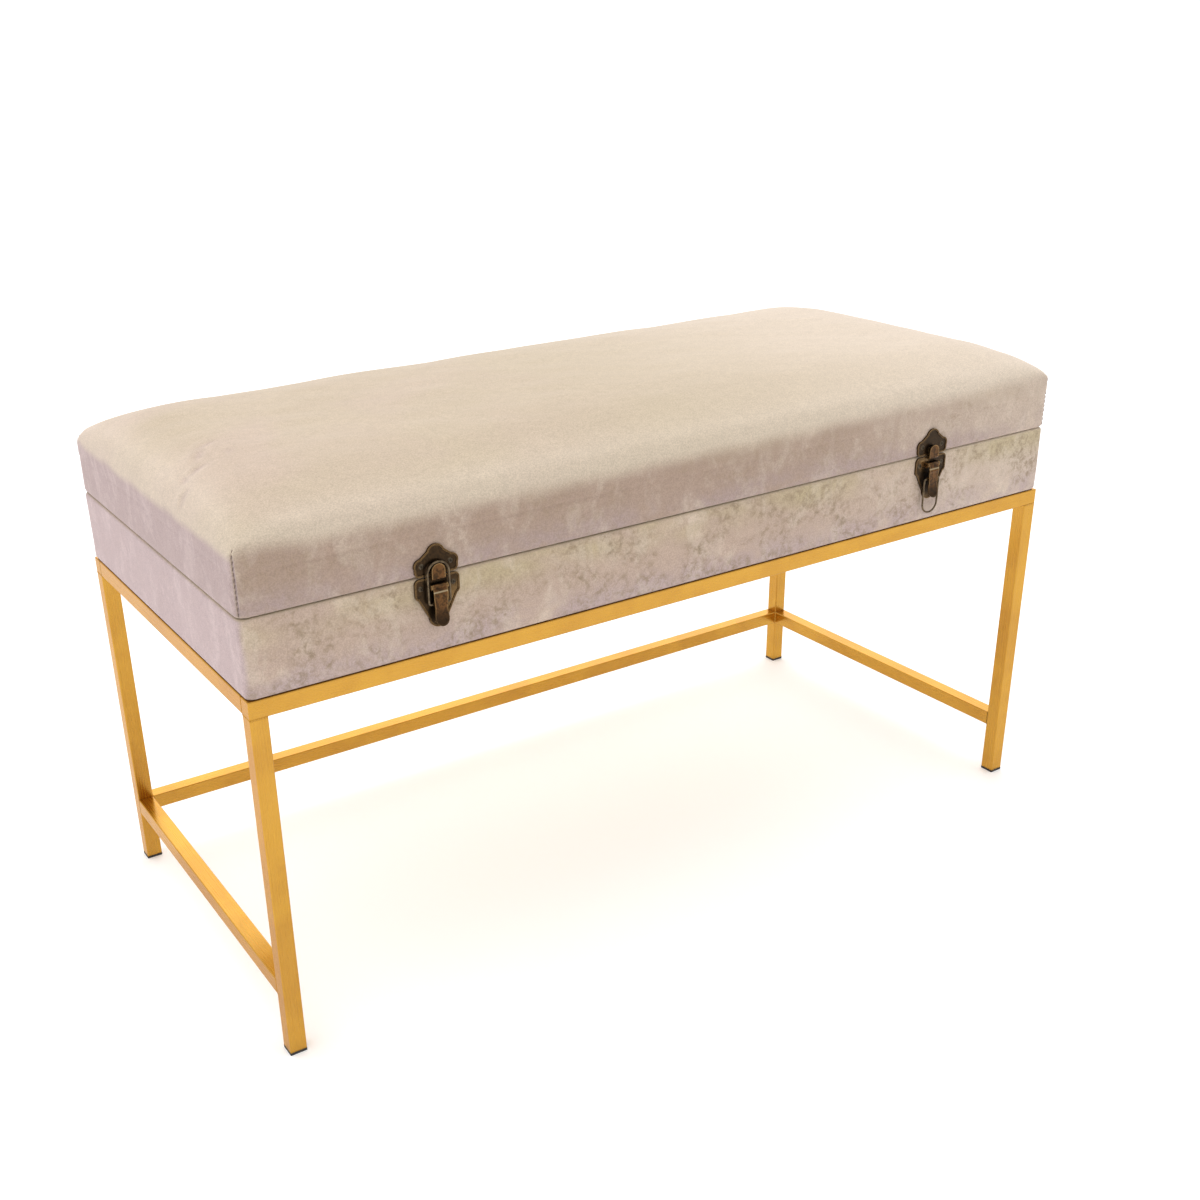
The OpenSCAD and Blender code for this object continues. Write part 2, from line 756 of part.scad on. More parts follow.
// Lever from the side, with Y coming out of the bench and Z up, about its pin
module lever_profile() {
    tip = -lever_len;
    outer = [[2.4, 0], [3.5, -6.5], [3.1, -8.6], [3.1, tip + 12], [4.2, tip + 5], [6, tip]];
    inner = [for (i = [len(outer) - 1 : -1 : 0]) outer[i] - [lever_t, 0]];
    polygon([for (p = concat(outer, inner)) [-p[0], p[1]]]);
}

// Lever from the front: drawn in a little at its waist, with a round tip
module lever_front() {
    half = lever_w / 2;
    waist = half - 0.7;
    polygon([
        [-half, barrel_r], [half, barrel_r], [half, -8], [waist, -18], [half, -lever_len + half],
        [-half, -lever_len + half], [-waist, -18], [-half, -8]
    ]);
    translate([0, -lever_len + half]) circle(r = half, $fn = 64);
}

module lever(side) {
    cheek_t = 1.2;
    color(bronze)
    translate([side * latch_x, pin_y, pin_z])
    difference() {
        union() {
            intersection() {
                translate([-lever_w / 2, 0, 0]) rotate([90, 0, 90]) linear_extrude(lever_w) lever_profile();
                on_front(2, 12) lever_front();
            }
            translate([-lever_w / 2, 0, 0]) rotate([0, 90, 0]) cylinder(r = barrel_r, h = lever_w, $fn = 48);
            for (x = [-lever_w / 2 + 0.5, lever_w / 2 - 0.5 - cheek_t]) {
                translate([x, -0.5, -bail_drop]) rotate([0, 90, 0]) cylinder(r = 2, h = cheek_t, $fn = 32);
                translate([x, -2.2, -bail_drop - 2]) cube([cheek_t, 1.7, 4]);
            }
        }
        translate([-20, 0, 0]) rotate([0, 90, 0]) cylinder(r = pin_r + run_fit, h = 40, $fn = 32);
        translate([-20, -0.5, -bail_drop]) rotate([0, 90, 0]) cylinder(r = wire_r + run_fit, h = 40, $fn = 32);
    }
}

module lever_pin(side) {
    end = ear_x + ear_t + 0.15;
    color(bronze)
    translate([side * latch_x - end, pin_y, pin_z])
        rotate([0, 90, 0]) cylinder(r = pin_r, h = 2 * end, $fn = 32);
}

// Bail standing up from its pivot: two feet turned in, two legs and a round arch
module bail_wire() {
    bend = 2;
    foot = lever_w / 2 - 1.9;
    arch_z = bail_len - bail_half;
    for (s = [-1, 1]) {
        translate([s * bail_half, 0, bend]) cylinder(r = wire_r, h = arch_z - bend, $fn = 24);
        translate([s * foot, 0, 0]) rotate([0, s * 90, 0])
            cylinder(r = wire_r, h = bail_half - bend - foot, $fn = 24);
        translate([s * (bail_half - bend), 0, bend]) rotate([90, 0, 0]) rotate([0, 0, s > 0 ? -90 : 180])
            rotate_extrude(angle = 90, $fn = 48) translate([bend, 0]) circle(r = wire_r, $fn = 24);
    }
    translate([0, 0, arch_z]) rotate([90, 0, 0])
        rotate_extrude(angle = 180, $fn = 64) translate([bail_half, 0]) circle(r = wire_r, $fn = 24);
}

// The left bail stands over its hook, and the right one hangs
module bail(side) {
    color(bronze)
    translate([side * latch_x, bail_pivot_y, bail_pivot_z])
        rotate([side < 0 ? -bail_lean : 180, 0, 0]) bail_wire();
}

module strike_screws() {
    color(bronze)
    for (s = [-1, 1], x = [-1, 1])
        translate([s * latch_x + x * strike_screw_x, plate_y, lid_bottom + strike_screw_z])
            rotate([90, 0, 0]) screw(latch_screw_r, latch_screw_len, latch_head_r, latch_head_h);
}

module base_plate_screws() {
    color(bronze)
    for (s = [-1, 1], x = [-1, 1])
        translate([s * latch_x + x * base_screw_x, plate_y, box_top + base_screw_z])
            rotate([90, 0, 0]) screw(latch_screw_r, latch_screw_len, latch_head_r, latch_head_h);
}

// Mirrors a right-hand stay part to the left where asked
module to_side(side) {
    mirror([side < 0 ? 1 : 0, 0, 0]) children();
}

// Cylinder along X between two places, at a pivot
module pivot_bar(x0, x1, y, z, r) {
    translate([x0, y, z]) rotate([0, 90, 0]) cylinder(r = r, h = x1 - x0, $fn = 40);
}

// Plate on the wall that carries a stay's pin, with its two screw holes behind the pin
module stay_plate(x0, y, z) {
    back = stay_screws_back[1];
    difference() {
        union() {
            block([x0, y, z - stay_pad], [x0 + stay_plate_t, y + back, z + stay_pad]);
            for (end = [0, back]) pivot_bar(x0, x0 + stay_plate_t, y + end, z, stay_pad);
        }
        for (place = stay_screws_back)
            pivot_bar(x0 - 1, x0 + stay_plate_t + 1, y + place, z, stay_screw_r + loose_fit);
    }
}

// Flat bar between two pivots
module stay_bar(x0, y0, z0, y1, z1) {
    tilt = atan2(z1 - z0, y1 - y0);
    translate([x0, y0, z0]) rotate([90, 0, 90])
        linear_extrude(stay_t) rotate(tilt) {
            translate([0, -stay_w / 2]) square([stay_arm, stay_w]);
            for (end = [0, stay_arm]) translate([end, 0]) circle(r = stay_w / 2, $fn = 48);
        }
}

elbow_y = stay_a_y - stay_arm * cos(stay_rise);
elbow_z = stay_a_z + stay_arm * sin(stay_rise);

module stay_box_plate(side) {
    color(steel)
    to_side(side) {
        stay_plate(box_plate_x, stay_a_y, stay_a_z);
        pivot_bar(lower_arm_x - side_gap, box_plate_x + 0.5, stay_a_y, stay_a_z, stay_pin_r);
        pivot_bar(lower_arm_x - side_gap - stay_head, lower_arm_x - side_gap,
                  stay_a_y, stay_a_z, stay_pin_r + 1.5);
    }
}

module stay_lid_plate(side) {
    color(steel)
    to_side(side) {
        stay_plate(lid_plate_x, stay_b_y, stay_b_z);
        pivot_bar(upper_arm_x + stay_t + side_gap, lid_plate_x + 0.5, stay_b_y, stay_b_z, stay_pin_r + 1.5);
        pivot_bar(upper_arm_x - side_gap, lid_plate_x, stay_b_y, stay_b_z, stay_pin_r);
        pivot_bar(upper_arm_x - side_gap - stay_head, upper_arm_x - side_gap,
                  stay_b_y, stay_b_z, stay_pin_r + 1.5);
    }
}

module stay_lower_arm(side) {
    color(steel)
    to_side(side)
    difference() {
        stay_bar(lower_arm_x, stay_a_y, stay_a_z, elbow_y, elbow_z);
        pivot_bar(lower_arm_x - 1, lower_arm_x + stay_t + 1, stay_a_y, stay_a_z, stay_pin_r + run_fit);
        pivot_bar(lower_arm_x - 1, lower_arm_x + stay_t + 1, elbow_y, elbow_z, stay_pin_r + run_fit);
    }
}

// Upper arm with the elbow's rivet, which goes through the lower arm
module stay_upper_arm(side) {
    rivet_end = lower_arm_x + stay_t + side_gap;
    color(steel)
    to_side(side) {
        difference() {
            stay_bar(upper_arm_x, stay_b_y, stay_b_z, elbow_y, elbow_z);
            pivot_bar(upper_arm_x - 1, upper_arm_x + stay_t + 1, stay_b_y, stay_b_z, stay_pin_r + run_fit);
        }
        pivot_bar(upper_arm_x + stay_t / 2, rivet_end + stay_head / 2, elbow_y, elbow_z, stay_pin_r);
        pivot_bar(rivet_end, rivet_end + stay_head, elbow_y, elbow_z, stay_pin_r + 1.5);
        pivot_bar(upper_arm_x - stay_head, upper_arm_x + stay_t / 2, elbow_y, elbow_z, stay_pin_r + 1.5);
    }
}

module stay_screws(x0, y, z) {
    color(steel)
    for (s = [-1, 1], place = stay_screws_back)
        to_side(s) translate([x0, y + place, z])
            rotate([0, -90, 0]) screw(stay_screw_r, stay_screw_len, stay_head_r, stay_head);
}

long_top_rail(-1);  // front_top_rail
long_top_rail(1);  // back_top_rail
short_top_rail(-1);  // left_top_rail
short_top_rail(1);  // right_top_rail
leg(-1, -1);  // front_left_leg
leg(1, -1);  // front_right_leg
leg(-1, 1);  // back_left_leg
leg(1, 1);  // back_right_leg
back_stretcher();
side_stretcher(-1);  // left_stretcher
side_stretcher(1);  // right_stretcher
foot_caps();
box_frame_screws();
long_wall(-1);  // box_front_panel
long_wall(1);  // box_back_panel
short_wall(-1);  // box_left_panel
short_wall(1);  // box_right_panel
box_bottom_panel();
box_cover();
box_lining();
long_lid_rail(-1);  // lid_front_rail
long_lid_rail(1);  // lid_back_rail
short_lid_rail(-1);  // lid_left_rail
short_lid_rail(1);  // lid_right_rail
lid_board();
lid_foam();
lid_cover();
lid_lining();
hinge_box_leaf(-1);  // left_hinge_box_leaf
hinge_lid_leaf(-1);  // left_hinge_lid_leaf
hinge_pin(-1);  // left_hinge_pin
hinge_box_leaf(1);  // right_hinge_box_leaf
hinge_lid_leaf(1);  // right_hinge_lid_leaf
hinge_pin(1);  // right_hinge_pin
hinge_screws(-1);  // hinge_box_screws
hinge_screws(1);  // hinge_lid_screws
strike_plate(-1);  // left_strike_plate
base_plate(-1);  // left_base_plate
lever(-1);  // left_lever
lever_pin(-1);  // left_lever_pin
bail(-1);  // left_bail
strike_plate(1);  // right_strike_plate
base_plate(1);  // right_base_plate
lever(1);  // right_lever
lever_pin(1);  // right_lever_pin
bail(1);  // right_bail
strike_screws();
base_plate_screws();
stay_box_plate(-1);  // left_stay_box_plate
stay_lower_arm(-1);  // left_stay_lower_arm
stay_upper_arm(-1);  // left_stay_upper_arm
stay_lid_plate(-1);  // left_stay_lid_plate
stay_box_plate(1);  // right_stay_box_plate
stay_lower_arm(1);  // right_stay_lower_arm
stay_upper_arm(1);  // right_stay_upper_arm
stay_lid_plate(1);  // right_stay_lid_plate
stay_screws(box_plate_x, stay_a_y, stay_a_z);  // stay_box_screws
stay_screws(lid_plate_x, stay_b_y, stay_b_z);  // stay_lid_screws
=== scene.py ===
"""Looks of a padded storage bench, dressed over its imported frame.

The bench is a velvet box with a crowned, hinged lid on a frame of square tube. Each
sub-assembly is a class with its sizes in metres, each finish is a frozen dataclass, and
main() builds them in order.
"""

import json
import logging
import math
import sys
from dataclasses import dataclass
from enum import Enum
from functools import reduce
from typing import Any, Callable, Optional, Sequence

import bpy
import numpy as np
from mathutils import Matrix, Vector

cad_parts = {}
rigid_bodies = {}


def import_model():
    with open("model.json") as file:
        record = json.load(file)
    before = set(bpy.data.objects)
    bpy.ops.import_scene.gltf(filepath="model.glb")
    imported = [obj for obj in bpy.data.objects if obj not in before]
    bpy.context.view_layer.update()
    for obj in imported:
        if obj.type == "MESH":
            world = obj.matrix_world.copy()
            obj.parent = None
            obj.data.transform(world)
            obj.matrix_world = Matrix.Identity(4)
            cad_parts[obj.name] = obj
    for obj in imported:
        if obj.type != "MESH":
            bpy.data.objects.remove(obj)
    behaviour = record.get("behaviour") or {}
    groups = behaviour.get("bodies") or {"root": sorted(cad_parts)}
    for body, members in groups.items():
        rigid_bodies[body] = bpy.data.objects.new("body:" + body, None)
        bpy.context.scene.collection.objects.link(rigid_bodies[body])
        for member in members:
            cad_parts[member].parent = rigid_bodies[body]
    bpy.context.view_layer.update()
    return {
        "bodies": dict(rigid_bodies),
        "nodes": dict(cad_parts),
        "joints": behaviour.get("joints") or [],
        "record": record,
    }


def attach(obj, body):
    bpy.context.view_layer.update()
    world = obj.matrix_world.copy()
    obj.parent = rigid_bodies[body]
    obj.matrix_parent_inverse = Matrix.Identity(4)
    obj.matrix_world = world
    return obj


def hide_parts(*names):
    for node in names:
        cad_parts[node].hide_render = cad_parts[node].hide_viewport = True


LOG = logging.getLogger("bench")
MM = 0.001
SIDES = ("left", "right")
Array = np.ndarray
Pair = tuple[float, float]
Triple = tuple[float, float, float]
Piece = bpy.types.Object
Material = bpy.types.Material
Socket = bpy.types.NodeSocket


# Small tools


def srgb(code: str) -> tuple[float, ...]:
    """Turns an sRGB hex colour into the linear colour that shaders use.

    Args:
        code: Six hex digits after a hash.

    Returns:
        Red, green, blue and an alpha of one.
    """
    parts = np.array([int(code[i : i + 2], 16) for i in (1, 3, 5)]) / 255
    linear = np.where(parts <= 0.04045, parts / 12.92, ((parts + 0.055) / 1.055) ** 2.4)
    return (*map(float, linear), 1.0)


def ease(low: float, high: float, value: Array) -> Array:
    """Rises from 0 at low to 1 at high along the curve 3t^2 - 2t^3.

    Args:
        low: Value where the rise begins.
        high: Value where it ends.
        value: Places to work out.

    Returns:
        The rise at each place.
    """
    t = np.clip((value - low) / (high - low), 0, 1)
    return t * t * (3 - 2 * t)


def hump(value: Array, middle: float, width: float) -> Array:
    """Bell of height 1 round middle, exp(-(distance / width)^2)."""
    return np.exp(-(((value - middle) / width) ** 2))


def ripples(points: Array, length: float, seed: int) -> Array:
    """Uneven swells over space: a sum of nine sine waves in seeded directions.

    Args:
        points: Places as rows of x, y, z.
        length: Mean wave length.
        seed: Seed of the directions and phases.

    Returns:
        A height from about -1 to 1 at each place.
    """
    count = 9
    rng = np.random.default_rng(seed)
    ways = rng.normal(size=(count, 3))
    ways /= np.linalg.norm(ways, axis=1)[:, None]
    ways *= (2 * math.pi / length) * rng.uniform(0.6, 1.5, (count, 1))
    phases = rng.uniform(0, 2 * math.pi, count)
    return np.sin(points @ ways.T + phases).sum(axis=1) / math.sqrt(count)


def strip_faces(rows: int, columns: int, around: bool = False, start: int = 0) -> Array:
    """Quads of a grid whose points lie row by row.

    Args:
        rows: Number of rows of points.
        columns: Number of points in a row.
        around: True if each row closes on itself.
        start: Number of the first point.

    Returns:
        One row of four point numbers for each quad.
    """
    across = columns if around else columns - 1
    r, c = np.meshgrid(np.arange(rows - 1), np.arange(across), indexing="ij")
    row, above, n = r * columns, (r + 1) * columns, (c + 1) % columns
    return np.stack([row + c, row + n, above + n, above + c], -1).reshape(-1, 4) + start


def make_piece(name: str, points: Array, faces: Sequence[Sequence[int]]) -> Piece:
    """Puts points and faces into a new, smoothly shaded object at the origin.

    Args:
        name: Name of the piece.
        points: Places in metres.
        faces: Point numbers of each face, counter-clockwise from outside.

    Returns:
        The new object.
    """
    mesh = bpy.data.meshes.new(name)
    mesh.from_pydata(points.tolist(), [], [list(map(int, f)) for f in faces])
    mesh.polygons.foreach_set("use_smooth", np.ones(len(mesh.polygons), bool))
    mesh.update()
    piece = bpy.data.objects.new(name, mesh)
    bpy.context.scene.collection.objects.link(piece)
    return piece


def tube_piece(name: str, tubes: Sequence[Array]) -> Piece:
    """Joins closed tubes into one piece.

    Args:
        name: Name of the piece.
        tubes: For each tube its places by section, round the section and by axis.

    Returns:
        The new piece, with a flat face on both ends of each tube.
    """
    sections, around = tubes[0].shape[:2]
    size = sections * around
    ends = [np.arange(around)[::-1], np.arange(size - around, size)]
    one = [*strip_faces(sections, around, True), *ends]
    faces = [face + size * k for k in range(len(tubes)) for face in one]
    return make_piece(name, np.concatenate([t.reshape(-1, 3) for t in tubes]), faces)


def read(items: Any, name: str = "co") -> Array:
    """Reads one vector of each item of a mesh, such as a point's place.

    Args:
        items: The mesh's points or their normals.
        name: Name of the vector.

    Returns:
        Rows of x, y, z.
    """
    flat = np.zeros(len(items) * 3, np.float32)
    items.foreach_get(name, flat)
    return flat.reshape(-1, 3).astype(float)


def points_and_normals(piece: Piece) -> tuple[Array, Array]:
    """Places of a piece's own points, and the unit normals there."""
    return read(piece.data.vertices), read(piece.data.vertex_normals, "vector")


def set_points(piece: Piece, points: Array) -> None:
    """Moves a piece's own points to new places."""
    piece.data.vertices.foreach_set("co", points.astype(np.float32).ravel())
    piece.data.update()


def set_share(piece: Piece, name: str, share: Array) -> None:
    """Stores one number for each point, for a material to read by name."""
    layer = piece.data.attributes.new(name, "FLOAT", "POINT")
    layer.data.foreach_set("value", share.astype(np.float32))


def round_ring(x: Array, y: Array, half: Pair, inset: Any, radius: Any) -> tuple[Array, Array]:
    """Moves places on a rectangle's edge onto a rounded rectangle inside it.

    Each place is first scaled to the drawn-in rectangle. Then, where it lies in a corner's
    square, it goes along its ray from the corner's centre onto the circle.

    Args:
        x: Places along X, on or inside the outer rectangle's ring.
        y: Places along Y.
        half: Half the outer rectangle's length and depth.
        inset: How far each place's ring is drawn in, one number or one for each place.
        radius: Corner radius of each place's ring, likewise.

    Returns:
        The new places along X and Y.
    """
    a, b = half[0] - inset - radius, half[1] - inset - radius
    qx, qy = np.abs(x) - a, np.abs(y) - b
    corner = (qx > 0) & (qy > 0)
    length = np.hypot(np.where(corner, qx, 1), np.where(corner, qy, 1))
    shrink = np.where(corner, np.broadcast_to(radius, x.shape) / length, 1)
    return (
        np.where(corner, np.sign(x) * (a + qx * shrink), x),
        np.where(corner, np.sign(y) * (b + qy * shrink), y),
    )


def ring_lines(half: float, run: float, steps: int, pitch: float) -> Array:
    """Grid lines across a pad, close together at its edges.

    From an edge the lines lie at run * (1 - cos t) for even steps of t up to a right
    angle, and from there at an even pitch to the middle.

    Args:
        half: Half the pad's width.
        run: Distance over which the spacing grows.
        steps: Number of lines in that distance.
        pitch: Rough spacing in the middle.

    Returns:
        Places from -half to half.
    """
    t = np.linspace(0, math.pi / 2, steps + 1)
    edge = run * (1 - np.cos(t))
    middle = np.linspace(run, half, max(2, round((half - run) / pitch) + 1))[1:]
    from_edge = np.concatenate([edge, middle])
    return np.concatenate([from_edge - half, (half - from_edge)[-2::-1]])


def rim_of_grid(columns: int, rows: int) -> Array:
    """Goes round the edge of a grid whose points lie row by row.

    Args:
        columns: Number of points in a row.
        rows: Number of rows.

    Returns:
        The rim's point numbers, counter-clockwise.
    """
    south = np.arange(columns - 1)
    east = np.arange(rows - 1) * columns + columns - 1
    north = (rows - 1) * columns + np.arange(columns - 1, 0, -1)
    west = np.arange(rows - 1, 0, -1) * columns
    return np.concatenate([south, east, north, west])


class Nodes:
    """A node tree, the function that adds a node to it, and mixtures of several nodes."""

    def __init__(self, tree: bpy.types.NodeTree) -> None:
        """Takes the tree that gets the nodes."""
        self.tree = tree

    def add(self, kind: str, *values: Any, out: Optional[str] = None, **settings: Any) -> Any:
        """Adds a node with its settings and links.

        Args:
            kind: The node's type, without the word that names its tree.
            values: A number, a hex colour or another node's output for each visible input
                in order, or one dictionary of them by name.
            out: Name of the output that is wanted, if not the first visible one.
            settings: The node's own properties.

        Returns:
            The output, or None where the node has none.
        """
        node = self.tree.nodes.new(f"ShaderNode{kind}")
        for name, value in settings.items():
            setattr(node, name, value)
        if values and isinstance(values[0], dict):
            given = [(node.inputs[name], value) for name, value in values[0].items()]
        else:
            given = list(zip([socket for socket in node.inputs if socket.enabled], values))
        for socket, value in given:
            if isinstance(value, Socket):
                self.tree.links.new(value, socket)
            else:
                socket.default_value = srgb(value) if isinstance(value, str) else value
        return node.outputs[out] if out else next((s for s in node.outputs if s.enabled), None)

    def share(self, *ramps: Any) -> Any:
        """Product of smooth ramps, each along the curve 3t^2 - 2t^3.

        Args:
            ramps: Each its value and its two ends, and then what it gives there if that
                isn't 0 and 1. A plain number or output is taken as it is.

        Returns:
            The product.
        """
        smooth = {"interpolation_type": "SMOOTHSTEP"}
        parts = [self.add("MapRange", *r, **smooth) if isinstance(r, tuple) else r for r in ramps]
        return reduce(lambda a, b: self.add("Math", a, b, operation="MULTIPLY"), parts)

    def tint(self, under: Any, over: Any, *ramps: Any) -> Socket:
        """Lays one colour over another by the product of the ramps that share() takes."""
        return self.add("Mix", self.share(*ramps), under, over, data_type="RGBA")


class Surface(Nodes):
    """A material that is being made: its nodes, its Object coordinates and its end."""

    def __init__(self, name: str) -> None:
        """Starts an empty material.

        Args:
            name: The finish's common name.
        """
        self.material = bpy.data.materials.new(name)
        self.material.use_nodes = True
        super().__init__(self.material.node_tree)
        self.tree.nodes.clear()
        self.place = self.add("TexCoord", out="Object")

    def grain(self, size: Any, detail: float = 3.0, rough: float = 0.55, bend: float = 0.0) -> Socket:
        """Noise over coordinates that are stretched to a mark's real size.

        Args:
            size: Width of a mark in metres, one number or one along each axis.
            detail: Number of finer layers.
            rough: Strength of each finer layer.
            bend: How far the marks are swirled.

        Returns:
            The noise, from 0 to 1.
        """
        scale = [1 / s for s in np.broadcast_to(size, 3)]
        spread = self.add("Mapping", {"Vector": self.place, "Scale": scale})
        look = {"Detail": detail, "Roughness": rough, "Distortion": bend}
        return self.add("TexNoise", {"Vector": spread, "Scale": 1.0, **look})

    def close(self, inputs: dict[str, Any], *relief: tuple[Socket, float, float]) -> Material:
        """Ends the material with one shader for a solid surface.

        Args:
            inputs: The shader's inputs.
            relief: Layers of relief, each a height, its depth in metres and its strength.

        Returns:
            The material.
        """
        normal: dict[str, Any] = {}
        for height, depth, strength in relief:
            layer = {"Height": height, "Distance": depth, "Strength": strength}
            normal = {"Normal": self.add("Bump", {**layer, **normal})}
        shader = self.add("BsdfPrincipled", {**inputs, **normal})
        self.add("OutputMaterial", {"Surface": shader})
        return self.material


# Finishes


class Run(Enum):
    """Direction in which a tube or a board's grain runs."""

    LONG = 0
    DEEP = 1
    UPRIGHT = 2

    def along(self, length: float, width: float) -> list[float]:
        """Size of a mark that is length along the run and width across it."""
        return [length if axis == self.value else width for axis in range(3)]


@dataclass(frozen=True)
class CrushedVelvet:
    """Polyester velvet with a short crushed pile, glued or stretched over a board.

    The pile lies in patches of differing nap, so the eye sees soft blotches, a light bloom
    at grazing angles and next to no gloss. Where the pile leans up it looks olive, and where
    it leans down lilac, so each panel has a band of either. The top's cream, the front's tan
    and the ends' lilac are partly nap and partly painted light and shade by which way each
    face looks; the rolled shoulder carries a painted highlight and the wrinkles' furrows
    painted shade.
    """

    name: str
    cream: str = "#b3a58d"
    tan: str = "#a18c7d"
    lilac: str = "#a69390"
    crushed: str = "#84735d"
    pale: str = "#d2c4b4"
    rose: str = "#b6a295"
    streak: str = "#c9b7b5"
    olive: str = "#b2a480"
    blotch: float = 0.35
    patchy: float = 0.3
    band: Pair = (0.448, 0.475)
    lift: float = 0.2

    def tones(self, on: Surface, marks: dict[str, Socket]) -> Socket:
        """Colour of the pile, from the broad tones down to the crush marks.

        Args:
            on: The material.
            marks: The noises by name.

        Returns:
            The colour.
        """
        # The front and end shares lay the front's tan and the ends' lilac over the top's cream: partly the
        # pile's nap, partly painted shade and light by which way each face looks.
        front, end, shoulder, fold = (
            on.add("Attribute", out="Fac", attribute_name=f"{name}_nap")
            for name in ("front", "end", "shoulder", "fold")
        )
        x, z = (on.add("SeparateXYZ", on.place, out=axis) for axis in "XZ")
        cloud, patch, mark = marks["cloud"], marks["patch"], marks["mark"]
        top = on.tint(self.cream, self.rose, (x, -0.36, 0.05, 0.60, 0.1), (cloud, 0.35, 0.65, 0.3, 1.0))
        top = on.tint(top, self.pale, (x, -0.10, 0.45, 0.0, 0.62))
        # Painted highlight: the rolled shoulder is laid paler than the top.
        top = on.tint(top, self.pale, shoulder, 0.45)
        tan = on.tint(self.tan, self.pale, (x, 0.06, 0.45, 0.0, 0.42))
        colour = on.tint(on.tint(top, tan, front), self.lilac, end)
        low, high = self.band
        colour = on.tint(colour, self.olive, (z, low, high, 0.0, self.lift), (cloud, 0.38, 0.62), front)
        colour = on.tint(colour, self.lilac, (z, low - 0.028, low, 0.8, 0.0), (patch, 0.3, 0.6), front)
        upright = on.add("Math", front, end, operation="MAXIMUM")
        light = on.share((marks["sweep"], 0.46, 0.66), (mark, 0.34, 0.60, 0.45, 1.0), upright, self.patchy)
        colour = on.tint(colour, on.tint(self.pale, self.streak, end), light)
        # Painted shade: the wrinkles' furrows are laid lilac, darker than the top.
        colour = on.tint(colour, self.lilac, fold, 0.45)
        deep = on.add("Math", on.share(front, self.blotch), 0.07, operation="ADD")
        return on.tint(colour, self.crushed, (patch, 0.36, 0.62), (mark, 0.40, 0.68), deep)

    def material(self) -> Material:
        """Builds the velvet.

        Returns:
            The material. It reads four shares from the piece: front_nap, end_nap,
            shoulder_nap and fold_nap.
        """
        on = Surface(self.name)
        # Patches of crushed pile are about 50 mm wide, the marks in them 8 mm and the
        # streaks down the ends 30 mm. Real fibres are 0.1 mm, drawn 1.2 mm so that they show.
        marks = {
            "cloud": on.grain((0.19, 0.19, 0.10), 3.0, 0.6, 0.4),
            "patch": on.grain((0.055, 0.055, 0.040), 3.0, 0.65, 0.5),
            "mark": on.grain((0.0075, 0.0075, 0.008), 5.0, 0.72, 0.4),
            "sweep": on.grain((0.028, 0.022, 0.045), 3.0, 0.6, 0.6),
        }
        fibre = on.grain(0.0012, 2.0, 0.7)
        grain = on.share((fibre, 0.32, 0.68, 0.88, 1.11), (marks["mark"], 0.35, 0.65, 0.96, 1.05))
        colour = self.tones(on, marks)
        colour = on.add("Mix", 1.0, colour, grain, data_type="RGBA", blend_type="MULTIPLY")
        look = {"Base Color": colour, "Roughness": 0.92, "Specular IOR Level": 0.18}
        sheen = {"Sheen Weight": 0.3, "Sheen Roughness": 0.42, "Sheen Tint": "#efe2e6"}
        relief = ((marks["patch"], 0.0009, 0.5), (marks["mark"], 0.0003, 0.5), (fibre, 0.0003, 0.35))
        return on.close({**look, **sheen}, *relief)


@dataclass(frozen=True)
class GoldPaint:
    """Satin gold paint sprayed on steel tube that was brushed along its length."""

    run: Run
    shade: str = "#c08e29"
    deep: str = "#b48123"
    bright: str = "#d8a64a"
    grazing: str = "#dab964"

    def material(self) -> Material:
        """Builds the paint: metal flake under a thin clear skin, with fine lengthwise brush marks.

        Returns:
            The material.
        """
        on = Surface(f"satin_gold_paint_{self.run.name.lower()}")
        # Brush marks are 0.9 mm across and 70 mm long, and the flake is 0.6 mm.
        streak = on.grain(self.run.along(0.070, 0.0009), 2.0, 0.6)
        flake = on.grain(0.0006, 1.0)
        drift = on.grain(0.06, 3.0, 0.6, 0.4)
        colour = on.tint(self.shade, self.deep, (drift, 0.35, 0.7))
        colour = on.tint(colour, self.bright, (streak, 0.3, 0.7, 0.0, 0.16))
        rough = [on.share((streak, 0.3, 0.7, 0.22, 0.33)), on.share((flake, 0.3, 0.7, 0.0, 0.04))]
        rough = on.add("Math", *rough, operation="ADD")
        look = {"Base Color": colour, "Metallic": 0.95, "Roughness": rough, "Specular Tint": self.grazing}
        coat = {"Coat Weight": 0.50, "Coat IOR": 1.6, "Coat Roughness": 0.18}
        return on.close({**look, **coat}, (streak, 0.00006, 0.5), (flake, 0.00005, 0.4))


